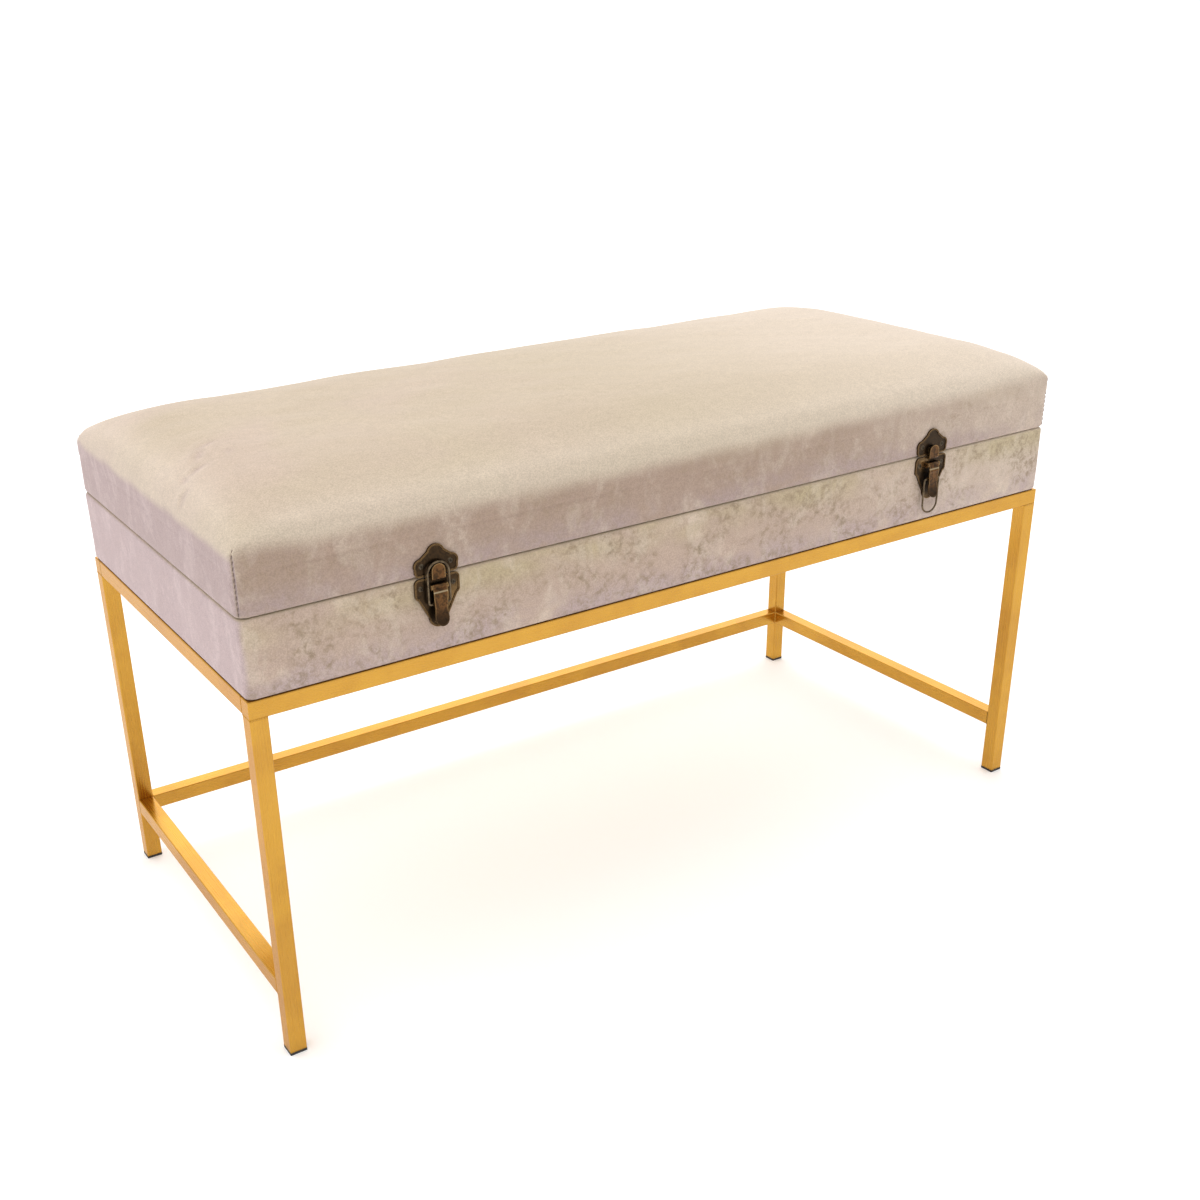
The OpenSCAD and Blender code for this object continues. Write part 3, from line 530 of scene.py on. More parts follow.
@dataclass(frozen=True)
class AntiqueBronze:
    """Stamped steel with a dark bronze plating, rubbed back along its edges.

    Copper shows on what stands forward of the plates. A lever, which has a bend, has a
    painted highlight in a pale line across the bend and grows darker towards its tip.
    in a nick across it and dark from fingers at its tip.
    """

    name: str = "antique_bronze_plate"
    dark: str = "#140d08"
    body: str = "#2c1e11"
    copper: str = "#5f3f23"
    rubbed: str = "#8f7048"
    wear: float = 1.0
    forward: Pair = (-0.2062, -0.2085)
    bend: Optional[float] = None

    def lever_marks(self, on: Surface, colour: Socket) -> Socket:
        """Adds a lever's marks: a painted highlight across its bend and a darker tip.

        Args:
            on: The material.
            colour: The plating without this wear.

        Returns:
            The colour.
        """
        z, bend = on.add("SeparateXYZ", on.place, out="Z"), self.bend
        inner, outer = 0.0004, 0.0009
        # Darker towards the lever's tip, from 10 mm below the bend downwards.
        colour = on.tint(colour, "#20170f", (z, bend - 0.024, bend - 0.010, 0.75, 0.0))
        # Painted highlight: a pale line across the lever's bend.
        bend_highlight = ((z, bend - outer, bend - inner), (z, bend + inner, bend + outer, 1.0, 0.0))
        return on.tint(colour, "#b3a383", *bend_highlight, 0.55)

    def material(self) -> Material:
        """Builds the plating: copper shows on what stands proud, and edges are rubbed pale.

        Returns:
            The material.
        """
        on = Surface(self.name)
        # Tarnish lies in clouds of 4 mm, and the rubbing leaves 0.5 mm scratches.
        tarnish = on.grain(0.004, 4.0, 0.65, 0.6)
        scratch = on.grain((0.0005, 0.0005, 0.003), 2.0, 0.6)
        edge = on.add("AmbientOcclusion", {"Distance": 0.0013}, out="AO", inside=True, samples=8)
        rub = on.share((edge, 0.35, 0.90, 1.0, 0.0), (scratch, 0.25, 0.6, 0.45 * self.wear, self.wear))
        proud = on.add("MapRange", on.add("SeparateXYZ", on.place, out="Y"), *self.forward)
        colour = on.tint(self.dark, self.body, (tarnish, 0.35, 0.65))
        colour = on.tint(colour, self.copper, proud, (tarnish, 0.36, 0.62, 0.15, 0.95))
        colour = on.tint(colour, self.rubbed, rub)
        if self.bend is not None:
            colour = self.lever_marks(on, colour)
        rough = on.share((rub, 0.0, 1.0, 0.34, 0.22))
        look = {"Base Color": colour, "Metallic": 0.9, "Roughness": rough}
        return on.close(look, (tarnish, 0.00012, 0.6))


@dataclass(frozen=True)
class ZincPlate:
    """Bright zinc plating on pressed steel, with a faint mottled bloom."""

    shade: str = "#b2b2b0"
    dull: str = "#a6a6a5"

    def material(self) -> Material:
        """Builds the plating: neutral metal with a soft cloudy gloss.

        Returns:
            The material.
        """
        on = Surface("zinc_plated_steel")
        bloom = on.grain(0.012, 4.0, 0.6, 0.5)
        colour = on.tint(self.shade, self.dull, (bloom, 0.35, 0.7))
        rough = on.share((bloom, 0.3, 0.7, 0.30, 0.42))
        look = {"Base Color": colour, "Metallic": 1.0, "Roughness": rough}
        return on.close(look, (on.grain(0.0007, 1.0), 0.00004, 0.4))


@dataclass(frozen=True)
class Plywood:
    """Sanded poplar plywood or pine rail, pale with a soft straight grain."""

    run: Run
    light: str = "#d9bd92"
    dark: str = "#b98f5c"
    pores: str = "#8a6238"

    def material(self) -> Material:
        """Builds the wood: grain lines 2.5 mm apart, with pores along them.

        Returns:
            The material.
        """
        on = Surface(f"sanded_plywood_{self.run.name.lower()}")
        grain = on.grain(self.run.along(0.16, 0.0025), 4.0, 0.6, 0.4)
        pore = on.grain(self.run.along(0.008, 0.0005), 1.0)
        colour = on.tint(self.light, self.dark, (grain, 0.3, 0.72))
        colour = on.tint(colour, self.pores, (pore, 0.58, 0.75, 0.0, 0.35))
        return on.close({"Base Color": colour, "Roughness": 0.68}, (grain, 0.00015, 0.4))


@dataclass(frozen=True)
class LiningCloth:
    """Plain-woven polyester lining, thin and matt."""

    shade: str = "#857c74"
    slubs: str = "#8d827a"
    gaps: str = "#6f665f"
    thread: float = 0.0016

    def material(self) -> Material:
        """Builds the cloth. Its threads are 0.3 mm, drawn 1.6 mm apart so that they show.

        Returns:
            The material.
        """
        on = Surface("woven_polyester_lining")
        turn = 2 * math.pi / self.thread
        axes = [on.add("SeparateXYZ", on.place, out=axis) for axis in "XYZ"]
        waves = [on.add("Math", on.share(axis, turn), operation="SINE") for axis in axes]
        weave = on.add("Math", on.share(*waves[:2]), waves[2], operation="ADD")
        slub = on.grain((0.006, 0.003, 0.003), 2.0)
        colour = on.tint(self.shade, self.slubs, (slub, 0.3, 0.7))
        colour = on.tint(colour, self.gaps, (weave, -1.0, 1.0, 0.0, 0.35))
        look = {"Base Color": colour, "Roughness": 0.9, "Sheen Weight": 0.15, "Specular IOR Level": 0.2}
        return on.close(look, (weave, 0.00015, 0.5))


@dataclass(frozen=True)
class FootPlastic:
    """Moulded black polyethylene with a fine spark-eroded grain."""

    shade: str = "#1d1c1b"
    raised: str = "#2b2928"

    def material(self) -> Material:
        """Builds the plastic: dull black with a grain of 0.7 mm.

        Returns:
            The material.
        """
        on = Surface("moulded_black_polyethylene")
        grain = on.grain(0.0007, 2.0)
        colour = on.tint(self.shade, self.raised, (grain, 0.3, 0.7))
        return on.close({"Base Color": colour, "Roughness": 0.55, "IOR": 1.51}, (grain, 0.00008, 0.6))


@dataclass(frozen=True)
class WaxedThread:
    """Twisted polyester sewing thread, dull and a little darker than the velvet."""

    shade: str = "#5b4b44"
    light: str = "#7a675e"

    def material(self) -> Material:
        """Builds the thread, with its twist 0.8 mm long.

        Returns:
            The material.
        """
        on = Surface("twisted_sewing_thread")
        twist = on.grain((0.0004, 0.0004, 0.0008), 1.0)
        colour = on.tint(self.shade, self.light, (twist, 0.3, 0.7))
        return on.close({"Base Color": colour, "Roughness": 0.75, "Sheen Weight": 0.2}, (twist, 0.0001, 0.6))


@dataclass(frozen=True)
class PaleFloor:
    """Matt white studio board, all but even and faintly lit through from below."""

    shade: str = "#fafaf9"
    other: str = "#f8f8f8"

    def material(self) -> Material:
        """Builds the floor's surface.

        Returns:
            The material.
        """
        on = Surface("matt_white_board")
        colour = on.tint(self.shade, self.other, (on.grain(0.5, 2.0), 0.3, 0.7))
        glow = {"Emission Color": "#fbfcff", "Emission Strength": 0.12}
        return on.close({"Base Color": colour, "Roughness": 0.9, "Specular IOR Level": 0.1, **glow})


def dress(piece: Piece, material: Material) -> None:
    """Gives a piece its one finish, in its mesh and in its own slot.

    Args:
        piece: A new piece or a frame part.
        material: The finish.
    """
    if not piece.material_slots:
        piece.data.materials.append(material)
    for slot in piece.material_slots:
        slot.link = "OBJECT"
        slot.material = material


def soften(piece: Piece, width: float, segments: int = 2) -> None:
    """Joins a frame part's loose triangles and rounds its hard edges.

    Args:
        piece: The frame part.
        width: Width of the rounding.
        segments: Number of facets across it.
    """
    weld = piece.modifiers.new("joined", "WELD")
    weld.merge_threshold = 0.00001
    edge = piece.modifiers.new("rounded", "BEVEL")
    edge.width = width
    edge.segments = segments
    edge.limit_method = "ANGLE"
    edge.angle_limit = math.radians(40)
    edge.use_clamp_overlap = True
    edge.harden_normals = True


# Sub-assemblies


@dataclass
class Upholstery:
    """Sizes that the velvet of the box and of the lid share."""

    half_len: float = 0.457
    half_dep: float = 0.2035
    corner: float = 0.008
    hem: float = 0.0132
    cloth: float = 0.0012


@dataclass
class PaddedLid(Upholstery):
    """The velvet cover of the lid over its crowned foam, down the sides and under the rails."""

    corner_growth: float = 0.35
    bottom: float = 0.4183
    board_top: float = 0.455
    edge: float = 0.4727
    crown: float = 0.0304
    run_len: float = 0.080
    run_dep: float = 0.101
    dome: float = 0.0067
    fullness: float = 2.14
    pitch: float = 0.0040
    edge_steps: int = 28
    cap: float = 0.0022
    roll: float = 0.0110
    roll_start: float = 0.440
    seam_end: float = 0.0025
    stitch_gap: float = 0.0047
    corner_reach: float = 0.05

    def crown_share(self, distance: Array, run: float) -> Array:
        """Rise of the crown, (1 - (1 - d / run)^p)^(1 / p), from 0 at the edge to 1."""
        left = 1 - np.clip(distance / run, 0, 1)
        return (1 - left**self.fullness) ** (1 / self.fullness)

    def height(self, x: Array, y: Array) -> Array:
        """Height of the cushion: its two crowns' product and a shallow dome, less the rolled edge.

        Args:
            x: Places along the bench.
            y: Places across it.

        Returns:
            Heights above the floor.
        """
        rise = self.crown_share(self.half_len - np.abs(x), self.run_len)
        rise = rise * self.crown_share(self.half_dep - np.abs(y), self.run_dep)
        dome = (1 - (x / self.half_len) ** 2) * (1 - (y / self.half_dep) ** 2)
        return self.edge + self.crown * rise + self.dome * dome - self.roll_drop(x, y)

    def roll_drop(self, x: Array, y: Array) -> Array:
        """Drop of the rolled edge, a quarter circle that is shallower along the front and back.

        It is shallowest at the front corners, where the seam holds the cloth up, and deepest
        at the back corners.

        Args:
            x: Places along the bench.
            y: Places across it.

        Returns:
            How far the surface lies below the plain crown.
        """
        in_x, in_y = self.half_len - np.abs(x), self.half_dep - np.abs(y)
        round_x = 1 - np.sqrt(1 - (1 - np.clip(in_x / self.roll, 0, 1)) ** 2)
        round_y = 1 - np.sqrt(1 - (1 - np.clip(in_y / self.roll, 0, 1)) ** 2)
        corner = hump(in_x, 0.0, self.corner_reach)
        along = 0.5 - 0.15 * corner + 0.55 * corner * (y > 0)
        ends = 0.8 - 0.25 * hump(y, -self.half_dep, self.corner_reach)
        return self.roll * np.minimum(np.hypot(ends * round_x, along * round_y), 1.05)

    def ring(self, x: Array, y: Array, inset: float) -> tuple[Array, Array]:
        """Draws the outer edge's points in onto a smaller ring.

        Args:
            x: The edge's places along X.
            y: Its places along Y.
            inset: How far the ring is drawn in.

        Returns:
            The ring's places along X and Y.
        """
        half = (self.half_len, self.half_dep)
        sx, sy = x * (1 - inset / half[0]), y * (1 - inset / half[1])
        return round_ring(sx, sy, half, inset, self.corner + self.corner_growth * inset)

    def side_rows(self) -> list[Pair]:
        """Works out the rows of the side, from under the edge line to the hem's end.

        Returns:
            An inset and a height for each row.
        """
        upper = [470.2, 467.4, 464.6, 461.9, 459.4, 457.4, 456.0, 454.9, 453.8]
        lower = [452.4, 449.6, 445.0, 439.5, 434.0, 428.6, 424.2]
        turn = [(0.05, 421.3), (0.5, 419.5), (1.5, 418.5), (3.2, 418.3), (8.0, 418.3)]
        end = [(self.hem - 0.4 * MM, 418.35 * MM), (self.hem, 418.8 * MM)]
        return [(0.0, h * MM) for h in upper + lower] + [(i * MM, h * MM) for i, h in turn] + end

    def surface(self) -> tuple[Array, list[Sequence[int]], int]:
        """Outer surface: the crowned grid, then rows of its rim down the side and under.

        Returns:
            The points, the faces and the number of points round the rim.
        """
        xs = ring_lines(self.half_len, self.run_len, self.edge_steps, self.pitch)
        ys = ring_lines(self.half_dep, self.run_dep, self.edge_steps, self.pitch)
        x, y = (a.ravel() for a in np.meshgrid(xs, ys))
        inset = np.minimum(self.half_len - np.abs(x), self.half_dep - np.abs(y))
        radius = np.minimum(self.corner + self.corner_growth * inset, 0.9 * (self.half_dep - inset))
        px, py = round_ring(x, y, (self.half_len, self.half_dep), inset, radius)
        top = np.stack([px, py, self.height(px, py)], -1)
        rim = rim_of_grid(len(xs), len(ys))
        drop = self.roll_drop(px[rim], py[rim])
        rows = []
        for i, z in self.side_rows():
            lowered = z - drop * max(0.0, z - self.roll_start) / (self.edge - self.roll_start)
            rows.append(np.stack([*self.ring(x[rim], y[rim], i), lowered], -1))
        n = len(rim)
        first = np.concatenate([rim, np.arange(n) + len(top)])
        faces: list[Sequence[int]] = list(strip_faces(len(ys), len(xs)))
        faces += list(first[strip_faces(2, n, True)][:, ::-1])
        faces += list(strip_faces(len(rows), n, True, len(top))[:, ::-1])
        return np.concatenate([top, *rows]), faces, n

    def press(self, piece: Piece) -> None:
        """Lets the cover swell over its foam as cloth, and caps how far a point goes.

        Args:
            piece: The cover's outer surface.
        """
        before, frames = read(piece.data.vertices), 20
        hold = piece.vertex_groups.new(name="held")
        free = ease(0.0, 0.035, before[:, 2] - self.edge + 0.006)
        inward = np.minimum(self.half_len - np.abs(before[:, 0]), self.half_dep - np.abs(before[:, 1]))
        loose = 1 - 0.9 * np.maximum(free, ease(0.0, 0.03, inward))
        held = np.round(np.where(before[:, 2] < self.edge + 0.001, 1.0, loose), 2)
        for level in np.unique(held):
            hold.add(np.flatnonzero(held == level).tolist(), float(level), "REPLACE")
        cloth = piece.modifiers.new("cover", "CLOTH")
        settings = {
            "quality": 4,
            "mass": 0.3,
            "tension_stiffness": 12,
            "compression_stiffness": 12,
            "bending_stiffness": 0.6,
            "use_pressure": True,
            "uniform_pressure_force": 4.0,
            "vertex_group_mass": "held",
        }
        for name, value in settings.items():
            setattr(cloth.settings, name, value)
        cloth.settings.effector_weights.gravity = 0.0
        cloth.collision_settings.use_self_collision = False
        scene = bpy.context.scene
        scene.frame_start, scene.frame_end = 1, frames
        cloth.point_cache.frame_start, cloth.point_cache.frame_end = 1, frames
        for frame in range(1, frames + 1):
            scene.frame_set(frame)
        done = piece.evaluated_get(bpy.context.evaluated_depsgraph_get())
        moved = read(done.data.vertices) - before
        piece.modifiers.remove(cloth)
        scene.frame_set(1)
        far = np.linalg.norm(moved, axis=1, keepdims=True)
        LOG.info("cover swelled by %.1f mm at most, capped at %.1f mm", far.max() / MM, self.cap / MM)
        set_points(piece, before + moved * np.minimum(1, self.cap / np.maximum(far, 1e-9)))

    def work_marks(self, piece: Piece) -> None:
        """Adds what upholstering leaves: the board's edge, corner seams, swells and wrinkles.

        Each mark moves points along their normals by a height worked out from their place.

        Args:
            piece: The cover's outer surface.
        """
        p, n = points_and_normals(piece)
        x, y, z = p.T
        side = ease(0.5, 0.9, np.hypot(n[:, 0], n[:, 1])) * ease(0.420, 0.424, z)
        front = ease(0.5, 0.9, -n[:, 1])
        strong = 0.35 + 0.65 * front * (1 - 0.75 * ease(-0.20, 0.05, x)) * ease(-0.452, -0.40, x)
        board_line = self.board_top - 0.0004 + 0.0007 * np.sin(x * 21 + 0.6)
        above = ease(-0.0004, 0.0030, z - board_line) * (1 - ease(0.008, 0.020, z - board_line))
        ledge, groove, groove_at = 0.0010, 0.0006, 0.4536
        lift = side * strong * (ledge * above - groove * hump(z, groove_at, 0.0014))
        swell = 0.0007 * ripples(p, 0.16, 4) * ease(self.edge, self.edge + 0.02, z)
        swell += 0.0003 * ripples(p, 0.05, 9) * ease(self.edge - 0.01, self.edge + 0.02, z)
        out_x, out_y = np.abs(x) - self.half_len, np.abs(y) - self.half_dep
        corner = np.hypot(np.maximum(out_x + self.corner, 0), np.maximum(out_y + self.corner, 0))
        seam_depth, seam_width = 0.0008, 0.0011
        seam = -seam_depth * hump(out_x - out_y, 0.0, seam_width) * (corner > 0.002)
        seam *= ease(0.4185, 0.4200, z) * (1 - ease(0.473, 0.480, z))
        set_points(piece, p + n * (lift + swell + seam + self.folds(p))[:, None])

    def folds(self, p: Array) -> Array:
        """Short slanting wrinkles near the left shoulder, each a furrow with a low ridge beside it.

        Args:
            p: Places on the cover.

        Returns:
            The height that the wrinkles add at each place, negative in a furrow.
        """
        total = np.zeros(len(p))
        # Each wrinkle is its middle, its turn in radians, half its length, its width and its depth.
        for cx, cy, turn, half_long, wide, deep in (
            (-0.449, -0.088, 0.60, 0.008, 0.0034, 0.0012),
            (-0.440, -0.066, 1.35, 0.007, 0.0034, 0.0011),
            (-0.426, -0.060, 0.45, 0.009, 0.0036, 0.0013),
            (-0.414, -0.032, 1.05, 0.010, 0.0036, 0.0012),
            (-0.400, -0.012, 0.40, 0.009, 0.0036, 0.0010),
            (-0.393, -0.046, 1.40, 0.007, 0.0034, 0.0009),
        ):
            u = (p[:, 0] - cx) * math.cos(turn) + (p[:, 1] - cy) * math.sin(turn)
            v = (p[:, 1] - cy) * math.cos(turn) - (p[:, 0] - cx) * math.sin(turn)
            across = 0.6 * hump(v, 1.6 * wide, wide) - hump(v, 0.0, wide)
            total += deep * across * hump(u, 0.0, half_long)
        return total * ease(self.edge, self.edge + 0.008, p[:, 2])

    def close(self, piece: Piece, rim: int) -> Piece:
        """Closes the pad: from the hem's end back inside to the cloth's thickness, up and across the board.

        Args:
            piece: The outer surface, whose last points are the hem's end.
            rim: Number of points round it.

        Returns:
            The closed piece.
        """
        p = read(piece.data.vertices)
        last = p[-rim:]
        x0, y0 = last[:, 0] / (1 - self.hem / self.half_len), last[:, 1] / (1 - self.hem / self.half_dep)
        floor = self.bottom + self.cloth
        inner = [(self.cloth, floor), (self.cloth, self.board_top)]
        rows = [last + [0, 0, floor - last[0, 2]]]
        rows += [np.stack([*self.ring(x0, y0, i), np.full(rim, z)], -1) for i, z in inner]
        faces = [list(f.vertices) for f in piece.data.polygons]
        faces += list(strip_faces(len(rows) + 1, rim, True, len(p) - rim)[:, ::-1])
        faces.append(np.arange(len(p) + 2 * rim, len(p) + 3 * rim)[::-1])
        bpy.data.objects.remove(piece)
        return make_piece("lid_cushion", np.concatenate([p, *rows]), faces)

    def seam_path(self) -> tuple[Array, Array]:
        """Places of stitches up a corner and over its rolled edge, at an even gap.

        The offset is how far a place lies out from the plain corner along X and Y alike.

        Returns:
            One row of offset and height for each stitch, and one of the path's direction.
        """
        inset = np.linspace(0, self.seam_end, 8)
        radius = self.corner + self.corner_growth * inset
        offset = -inset - radius * (1 - 1 / math.sqrt(2))
        top = self.height(self.half_len + offset, self.half_dep + offset)
        path = np.column_stack([np.append(offset[0], offset), np.append(self.bottom + 0.0035, top)])
        step = np.diff(path * [math.sqrt(2), 1], axis=0)
        run = np.append(0, np.cumsum(np.hypot(*step.T)))
        at = np.arange(0, run[-1], self.stitch_gap)
        spots, ahead = (
            np.column_stack([np.interp(a, run, path[:, k]) for k in (0, 1)]) for a in (at, at + MM)
        )
        way = (ahead - spots) * [math.sqrt(2), 1]
        return spots, way / np.linalg.norm(way, axis=1, keepdims=True)

    def stitches(self) -> Piece:
        """Hand stitches along the seam at each corner of the lid.

        A stitch is a capsule bent outwards a little: a circle carried along an arc, with its
        radius (1 - t^4)^(1/2) at the ends.

        Returns:
            The four rows of stitches as one piece.
        """
        t = np.linspace(-1, 1, 9)[:, None]
        turn = np.arange(8) * 2 * math.pi / 8
        thick, bow, slant, half_long = 0.00042, 0.00015, 0.00040, 0.00175
        radius = thick * np.sqrt(np.clip(1 - t**4, 0.02, 1))
        bulge = bow * (1 - t**2) + radius * np.cos(turn)
        aside = slant * t + radius * np.sin(turn)
        own = np.stack([bulge, aside, np.broadcast_to(half_long * t, bulge.shape)], -1)
        up = np.array([0, 0, 1])
        tubes = []
        for sx in (-1, 1):
            for sy in (-1, 1):
                out = np.array([sx, sy, 0]) / math.sqrt(2)
                side = np.array([-out[1], out[0], 0])
                for (offset, z), (lean, rise) in zip(*self.seam_path()):
                    corner = np.array([sx * (self.half_len + offset), sy * (self.half_dep + offset), z])
                    axes = np.array([rise * out - lean * up, side, lean * out + rise * up])
                    tubes.append(corner + own @ axes)
        return tube_piece("lid_corner_stitches", tubes)

    def build(self, velvet: Material, thread: Material) -> None:
        """Builds, dresses and places the lid's cover.

        Args:
            velvet: Finish of the cover.
            thread: Finish of its stitches.
        """
        points, faces, rim = self.surface()
        piece = make_piece("cover_surface", points, faces)
        self.press(piece)
        self.work_marks(piece)
        cushion = self.close(piece, rim)
        spot, normals = points_and_normals(cushion)
        steep_x, steep_y = np.abs(normals[:, 0]), np.abs(normals[:, 1])
        # The front's tone reaches 4 mm higher near the corners and 3 mm higher to the right.
        level = spot[:, 2] + 0.0009 * ripples(spot, 0.06, 17)
        sharp = 0.004 * hump(np.abs(spot[:, 0]), self.half_len, 0.06) + 0.003 * ease(0.10, 0.35, spot[:, 0])
        # The front and end shares set each face's tone, partly nap and partly painted shade and light.
        shares = {
            "front": ease(0.45, 0.85, steep_y) * (1 - ease(0.460, 0.477, level - sharp)),
            "end": ease(0.50, 0.85, steep_x) * (1 - ease(0.463, 0.472, level)),
            # Painted shade in the wrinkles' furrows.
            "fold": np.clip(-self.folds(spot) / 0.0012, 0, 1),
            # Painted highlight on the rolled shoulder.
            "shoulder": ease(0.12, 0.55, np.hypot(steep_x, steep_y)),
        }
        for name, share in shares.items():
            set_share(cushion, f"{name}_nap", share)
        dress(cushion, velvet)
        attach(cushion, "lid")
        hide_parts("lid_cover", "lid_foam")
        stitches = self.stitches()
        dress(stitches, thread)
        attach(stitches, "lid")


@dataclass
class VelvetBox(Upholstery):
    """The velvet strip round the box, turned over its rim and under its floor."""

    bottom: float = 0.3485
    top: float = 0.4173
    pitch: float = 0.008
    arc_points: int = 9

    def ring(self) -> tuple[Array, Array, Array, Array]:
        """The box's outline as places and outward directions, counter-clockwise.

        Returns:
            Corner centres' x and y, and the unit direction's x and y, for each place.
        """
        a, b = self.half_len - self.corner, self.half_dep - self.corner
        arc = np.linspace(0, math.pi / 2, self.arc_points)
        corners = [(a, -b), (a, b), (-a, b), (-a, -b)]
        centres, turns = [], []
        for k, start in enumerate(corners):
            way = np.subtract(corners[(k + 1) % 4], start)
            count = round(np.abs(way).max() / self.pitch)
            t = np.arange(1, count)[:, None] / count
            centres += [np.tile(start, (self.arc_points, 1)), start + way * t]
            turns += [arc + (k - 1) * math.pi / 2, np.full(count - 1, k * math.pi / 2)]
        angle = np.concatenate(turns)
        cx, cy = np.concatenate(centres).T
        return cx, cy, np.cos(angle), np.sin(angle)

    def profile(self) -> list[Pair]:
        """Works out the cloth's section, round its outside and back through its inside.

        Returns:
            An inset and a height for each place.
        """
        t, b, h, c = self.top, self.bottom, self.hem, self.cloth
        wall = [(0.0, z) for z in np.linspace(t - 3 * MM, b + 3 * MM, 15)]
        rolled_in = [(8, 0), (4, 0), (2.2, 0.1), (0.9, 0.7), (0.2, 1.7)]
        rolled_under = [(0.3, 2.3), (1.1, 1.1), (2.6, 0.3), (4.5, 0)]
        over = [(h, t - 0.5 * MM), (h - 0.5 * MM, t)] + [(i * MM, t - d * MM) for i, d in rolled_in]
        under = [(i * MM, b + d * MM) for i, d in rolled_under] + [(h - 0.3 * MM, b), (h, b + 0.3 * MM)]
        back = [(h, b + c), (c, b + c), (c, t - c), (h, t - c)]
        return over + wall + under + back

    def build(self, velvet: Material) -> None:
        """Builds, dresses and places the box's cover.

        Args:
            velvet: Finish of the cover.
        """
        cx, cy, nx, ny = self.ring()
        section = self.profile()
        rows = []
        for inset, z in section:
            radius = self.corner - min(inset, self.corner - 0.0005)
            more = max(inset - self.corner + 0.0005, 0.0)
            x = np.sign(cx) * np.maximum(np.abs(cx) - more, 0) + nx * radius
            y = np.sign(cy) * np.maximum(np.abs(cy) - more, 0) + ny * radius
            rows.append(np.stack([x, y, np.full(len(cx), z)], -1))
        points = np.concatenate(rows)
        n = len(cx)
        faces = strip_faces(len(rows) + 1, n, True) % len(points)
        piece = make_piece("box_velvet", points, faces[:, ::-1])
        p, way = points_and_normals(piece)
        outer = np.arange(len(points)) < n * (len(section) - 4)
        free = outer * ease(0.350, 0.356, p[:, 2]) * (1 - ease(0.4135, 0.4165, p[:, 2]))
        wave = 0.00035 * ripples(p, 0.10, 21) + 0.0002 * ripples(p, 0.035, 22)
        set_points(piece, p + way * (free * wave)[:, None])
        # The front and end shares set each face's tone, partly nap and partly painted shade and light.
        set_share(piece, "front_nap", ease(0.35, 0.9, np.abs(way[:, 1])))
        set_share(piece, "end_nap", ease(0.35, 0.9, np.abs(way[:, 0])))
        for name in ("shoulder_nap", "fold_nap"):
            set_share(piece, name, np.zeros(len(way)))
        dress(piece, velvet)
        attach(piece, "base")
        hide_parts("box_cover")


@dataclass
class Linings:
    """Cloth that lines the box's inside and the underside of the lid's board."""

    half_len: float = 0.4438
    half_dep: float = 0.1903
    floor: float = 0.3587
    rim: float = 0.4173
    cloth: float = 0.0008
    lid_face: float = 0.4490
    pitch: float = 0.012

    def tray(self, levels: Sequence[Pair], name: str, seed: int, lift: float) -> Piece:
        """Grid with rows of its rim turned up or down.

        Args:
            levels: The grid's own and then the rim's rows, as (inset, height).
            name: Name of the piece.
            seed: Seed of its unevenness.
            lift: Height of the unevenness on the grid.

        Returns:
            The cloth as one piece.
        """
        inset0, z0 = levels[0]
        half = (self.half_len - inset0, self.half_dep - inset0)
        xs, ys = (np.linspace(-h, h, round(2 * h / self.pitch)) for h in half)
        x, y = (a.ravel() for a in np.meshgrid(xs, ys))
        middle = ease(0.0, 0.03, np.minimum(half[0] - np.abs(x), half[1] - np.abs(y)))
        flat = np.stack([x, y, np.full(len(x), z0)], -1)
        flat[:, 2] += lift * middle * (0.5 + 0.5 * ripples(flat, 0.12, seed))
        rim = rim_of_grid(len(xs), len(ys))
        rows = []
        for inset, z in levels[1:]:
            grow = ((self.half_len - inset) / half[0], (self.half_dep - inset) / half[1])
            rows.append(np.stack([x[rim] * grow[0], y[rim] * grow[1], np.full(len(rim), z)], -1))
        first = np.concatenate([rim, np.arange(len(rim)) + len(flat)])
        faces = list(strip_faces(len(ys), len(xs)))
        faces += list(first[strip_faces(2, len(rim), True)][:, ::-1])
        faces += list(strip_faces(len(rows), len(rim), True, len(flat))[:, ::-1])
        return make_piece(name, np.concatenate([flat, *rows]), faces)

    def build(self, cloth: Material) -> None:
        """Builds, dresses and places both linings.

        Args:
            cloth: Finish of the linings.
        """
        c, f = self.cloth, self.floor + self.cloth
        wall = [(c, z) for z in np.linspace(f + 0.004, self.rim - 0.001, 7)]
        up = [(0.006, f), (0.0035, f + 0.0004), (0.0016, f + 0.0016), *wall, (0.0, self.rim - 0.0002)]
        box = self.tray(up, "box_lining_cloth", 31, 0.0006)
        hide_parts("box_lining")
        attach(box, "base")
        face = self.lid_face - self.cloth
        down = [(0.004, face), (0.0018, face), (0.0004, face + 0.0002), (0.0, face + 0.0007)]
        lid = self.tray(down, "lid_lining_cloth", 33, 0.0)
        lid.data.flip_normals()
        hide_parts("lid_lining")
        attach(lid, "lid")
        for piece in (box, lid):
            dress(piece, cloth)


